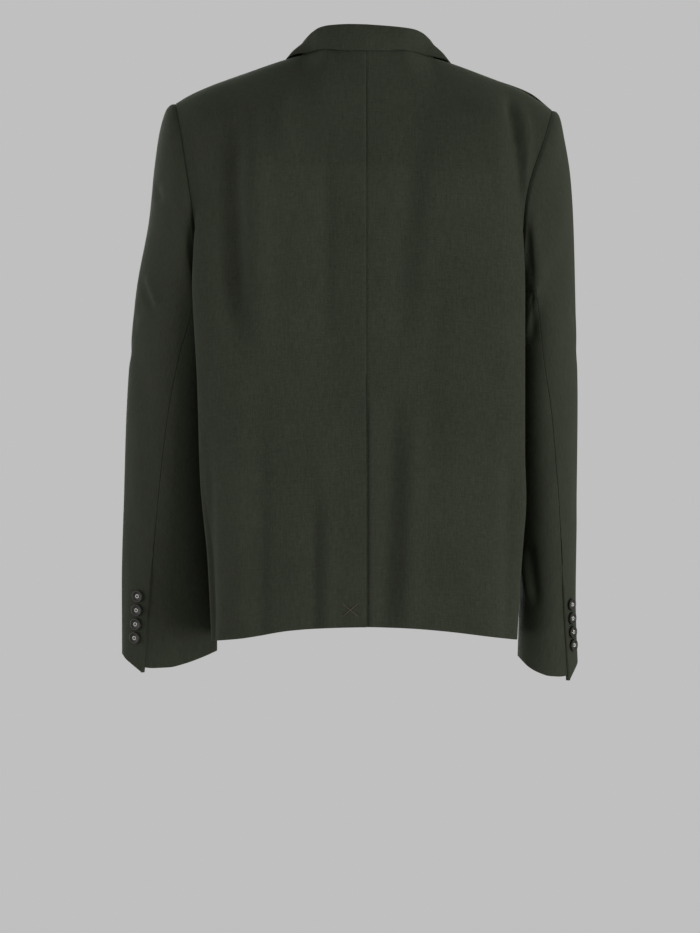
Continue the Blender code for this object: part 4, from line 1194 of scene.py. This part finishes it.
# The strip of the left front that the front buttons and their holes lie on.
STRIP_PLACES = np.linspace(1.7, 2.0, 181)
STRIP_LEVELS = np.linspace(0.2, UNDERARM, 321)
front_grid = body("left", *np.meshgrid(STRIP_PLACES, STRIP_LEVELS))
front_facing = facing_of(front_grid, -1.0)
front_spots = {name: nearest_to(front_grid, 0.0, height) for name, height in FRONT_BUTTON_Z.items()}
for name, spot in front_spots.items():
    axis = front_facing[spot]
    centre = front_grid[spot] + axis * BUTTON_LIE
    button("front_button_" + name, centre, axis, FRONT_BUTTON_ACROSS, FRONT_TILT)


# ---- Armhole seams ----
# Inside each armhole the cut edges of body and sleeve are sewn together and rolled into a thin
# ridge of cloth. It lies just under the seam and closes it.
SEAM_ROLL = 0.0014  # radius of the ridge, and how deep its middle lies
SEAM_DEEP = 0.0021
SEAM_EDGE_CELL = 0.015  # how far from the seam the body's facing is taken, as a place across it

for side, sign in SIGN.items():
    levels = arm_levels[:-1]
    behind = body(side, *np.meshgrid([1.0 - SEAM_EDGE_CELL, 1.0], levels))
    before = body(side, *np.meshgrid([FRONT_START, 1.0 + SEAM_EDGE_CELL], levels))
    line = np.concatenate([behind[:, 1], before[::-1, 0]])
    open_side = np.concatenate([facing_of(behind, -sign)[:, 1], facing_of(before, -sign)[::-1, 0]])
    open_side = unit(open_side + unit(line - line.mean(0)))
    roll = strand(list(line - open_side * SEAM_DEEP), SEAM_ROLL)
    mesh_piece("armhole_seam_" + side, *roll, WOOL, "wool_cloth")


# ---- Buttonholes ----
# Two worked holes in the left front, each a slit bound with close stitches. The buttons cover
# their ends, and a fastened button stays where it is.
BUTTONHOLE_LONG = 0.0250
BUTTONHOLE_WIDE = 0.0019  # from the slit's middle to the middle of its stitching
BUTTONHOLE_FROM = 0.001  # its near end lies this far from the button's middle
BUTTONHOLE_STRAIGHT = 1.3  # more than 1 keeps the sides of the slit straight
STITCH_ROUND = 0.00042
STITCH_PROUD = 0.0001
STITCH_STEPS = 73
GREEN_THREAD = sewing_thread("green_thread", (0.030, 0.034, 0.024))

turns = np.linspace(0, 2 * math.pi, STITCH_STEPS)
half = BUTTONHOLE_LONG / 2
straight = (half - BUTTONHOLE_WIDE) * np.clip(BUTTONHOLE_STRAIGHT * np.cos(turns), -1, 1)
x = half + BUTTONHOLE_FROM + straight + BUTTONHOLE_WIDE * np.cos(turns)
z = BUTTONHOLE_WIDE * np.sin(turns)
for name, spot in front_spots.items():
    line_x, line_y = front_grid[spot[0], :, 0], front_grid[spot[0], :, 1]
    order = np.argsort(line_x)
    y = np.interp(x, line_x[order], line_y[order]) - STITCH_PROUD
    ring = np.stack([front_grid[spot][0] + x, y, front_grid[spot][2] + z], -1)
    mesh_piece("buttonhole_" + name, *strand(ring, STITCH_ROUND), GREEN_THREAD, "wool_cloth")


# ---- Vent tack ----
# A loose cross of brown basting thread, sewn through the lap of the vent just above the hem to
# keep it flat until the blazer is first worn.
TACK_X = 0.0190
TACK_Z = -0.6580
TACK_WIDE = 0.0175
TACK_HIGH = 0.0145
TACK_ROUND = 0.00036
TACK_LIFTS = {1: 1.1, -1: 2.6}  # how many radii each stitch stands off the cloth, by its slope
TACK_SINK = 1.4  # its ends go into the cloth, and the power keeps its middle level
TACK_POWER = 8
TACK_STEPS = 13
LAP_PATCH = (np.linspace(0.02, 0.2, 120), np.linspace(0.0, 0.15, 120))  # places and levels round it
BROWN_THREAD = sewing_thread("brown_thread", (0.066, 0.050, 0.034))

tack_grid = creased(body("left", *np.meshgrid(*LAP_PATCH)), -1.0, {"behind": BACK_CREASES})
tack_facing = facing_of(tack_grid, -1.0)
strands = []
for slope, stands_off in TACK_LIFTS.items():
    line = []
    for share in np.linspace(-0.5, 0.5, TACK_STEPS):
        x = TACK_X + TACK_WIDE * share
        z = TACK_Z + slope * TACK_HIGH * share
        spot = nearest_to(tack_grid, x, z)
        lift = TACK_ROUND * stands_off * (1 - (2 * share) ** TACK_POWER * TACK_SINK)
        line.append((x, (tack_grid[spot] + tack_facing[spot] * lift)[1], z))
    strands.append(strand(line, TACK_ROUND))
mesh_piece("vent_tack", *joined(strands), BROWN_THREAD, "wool_cloth")
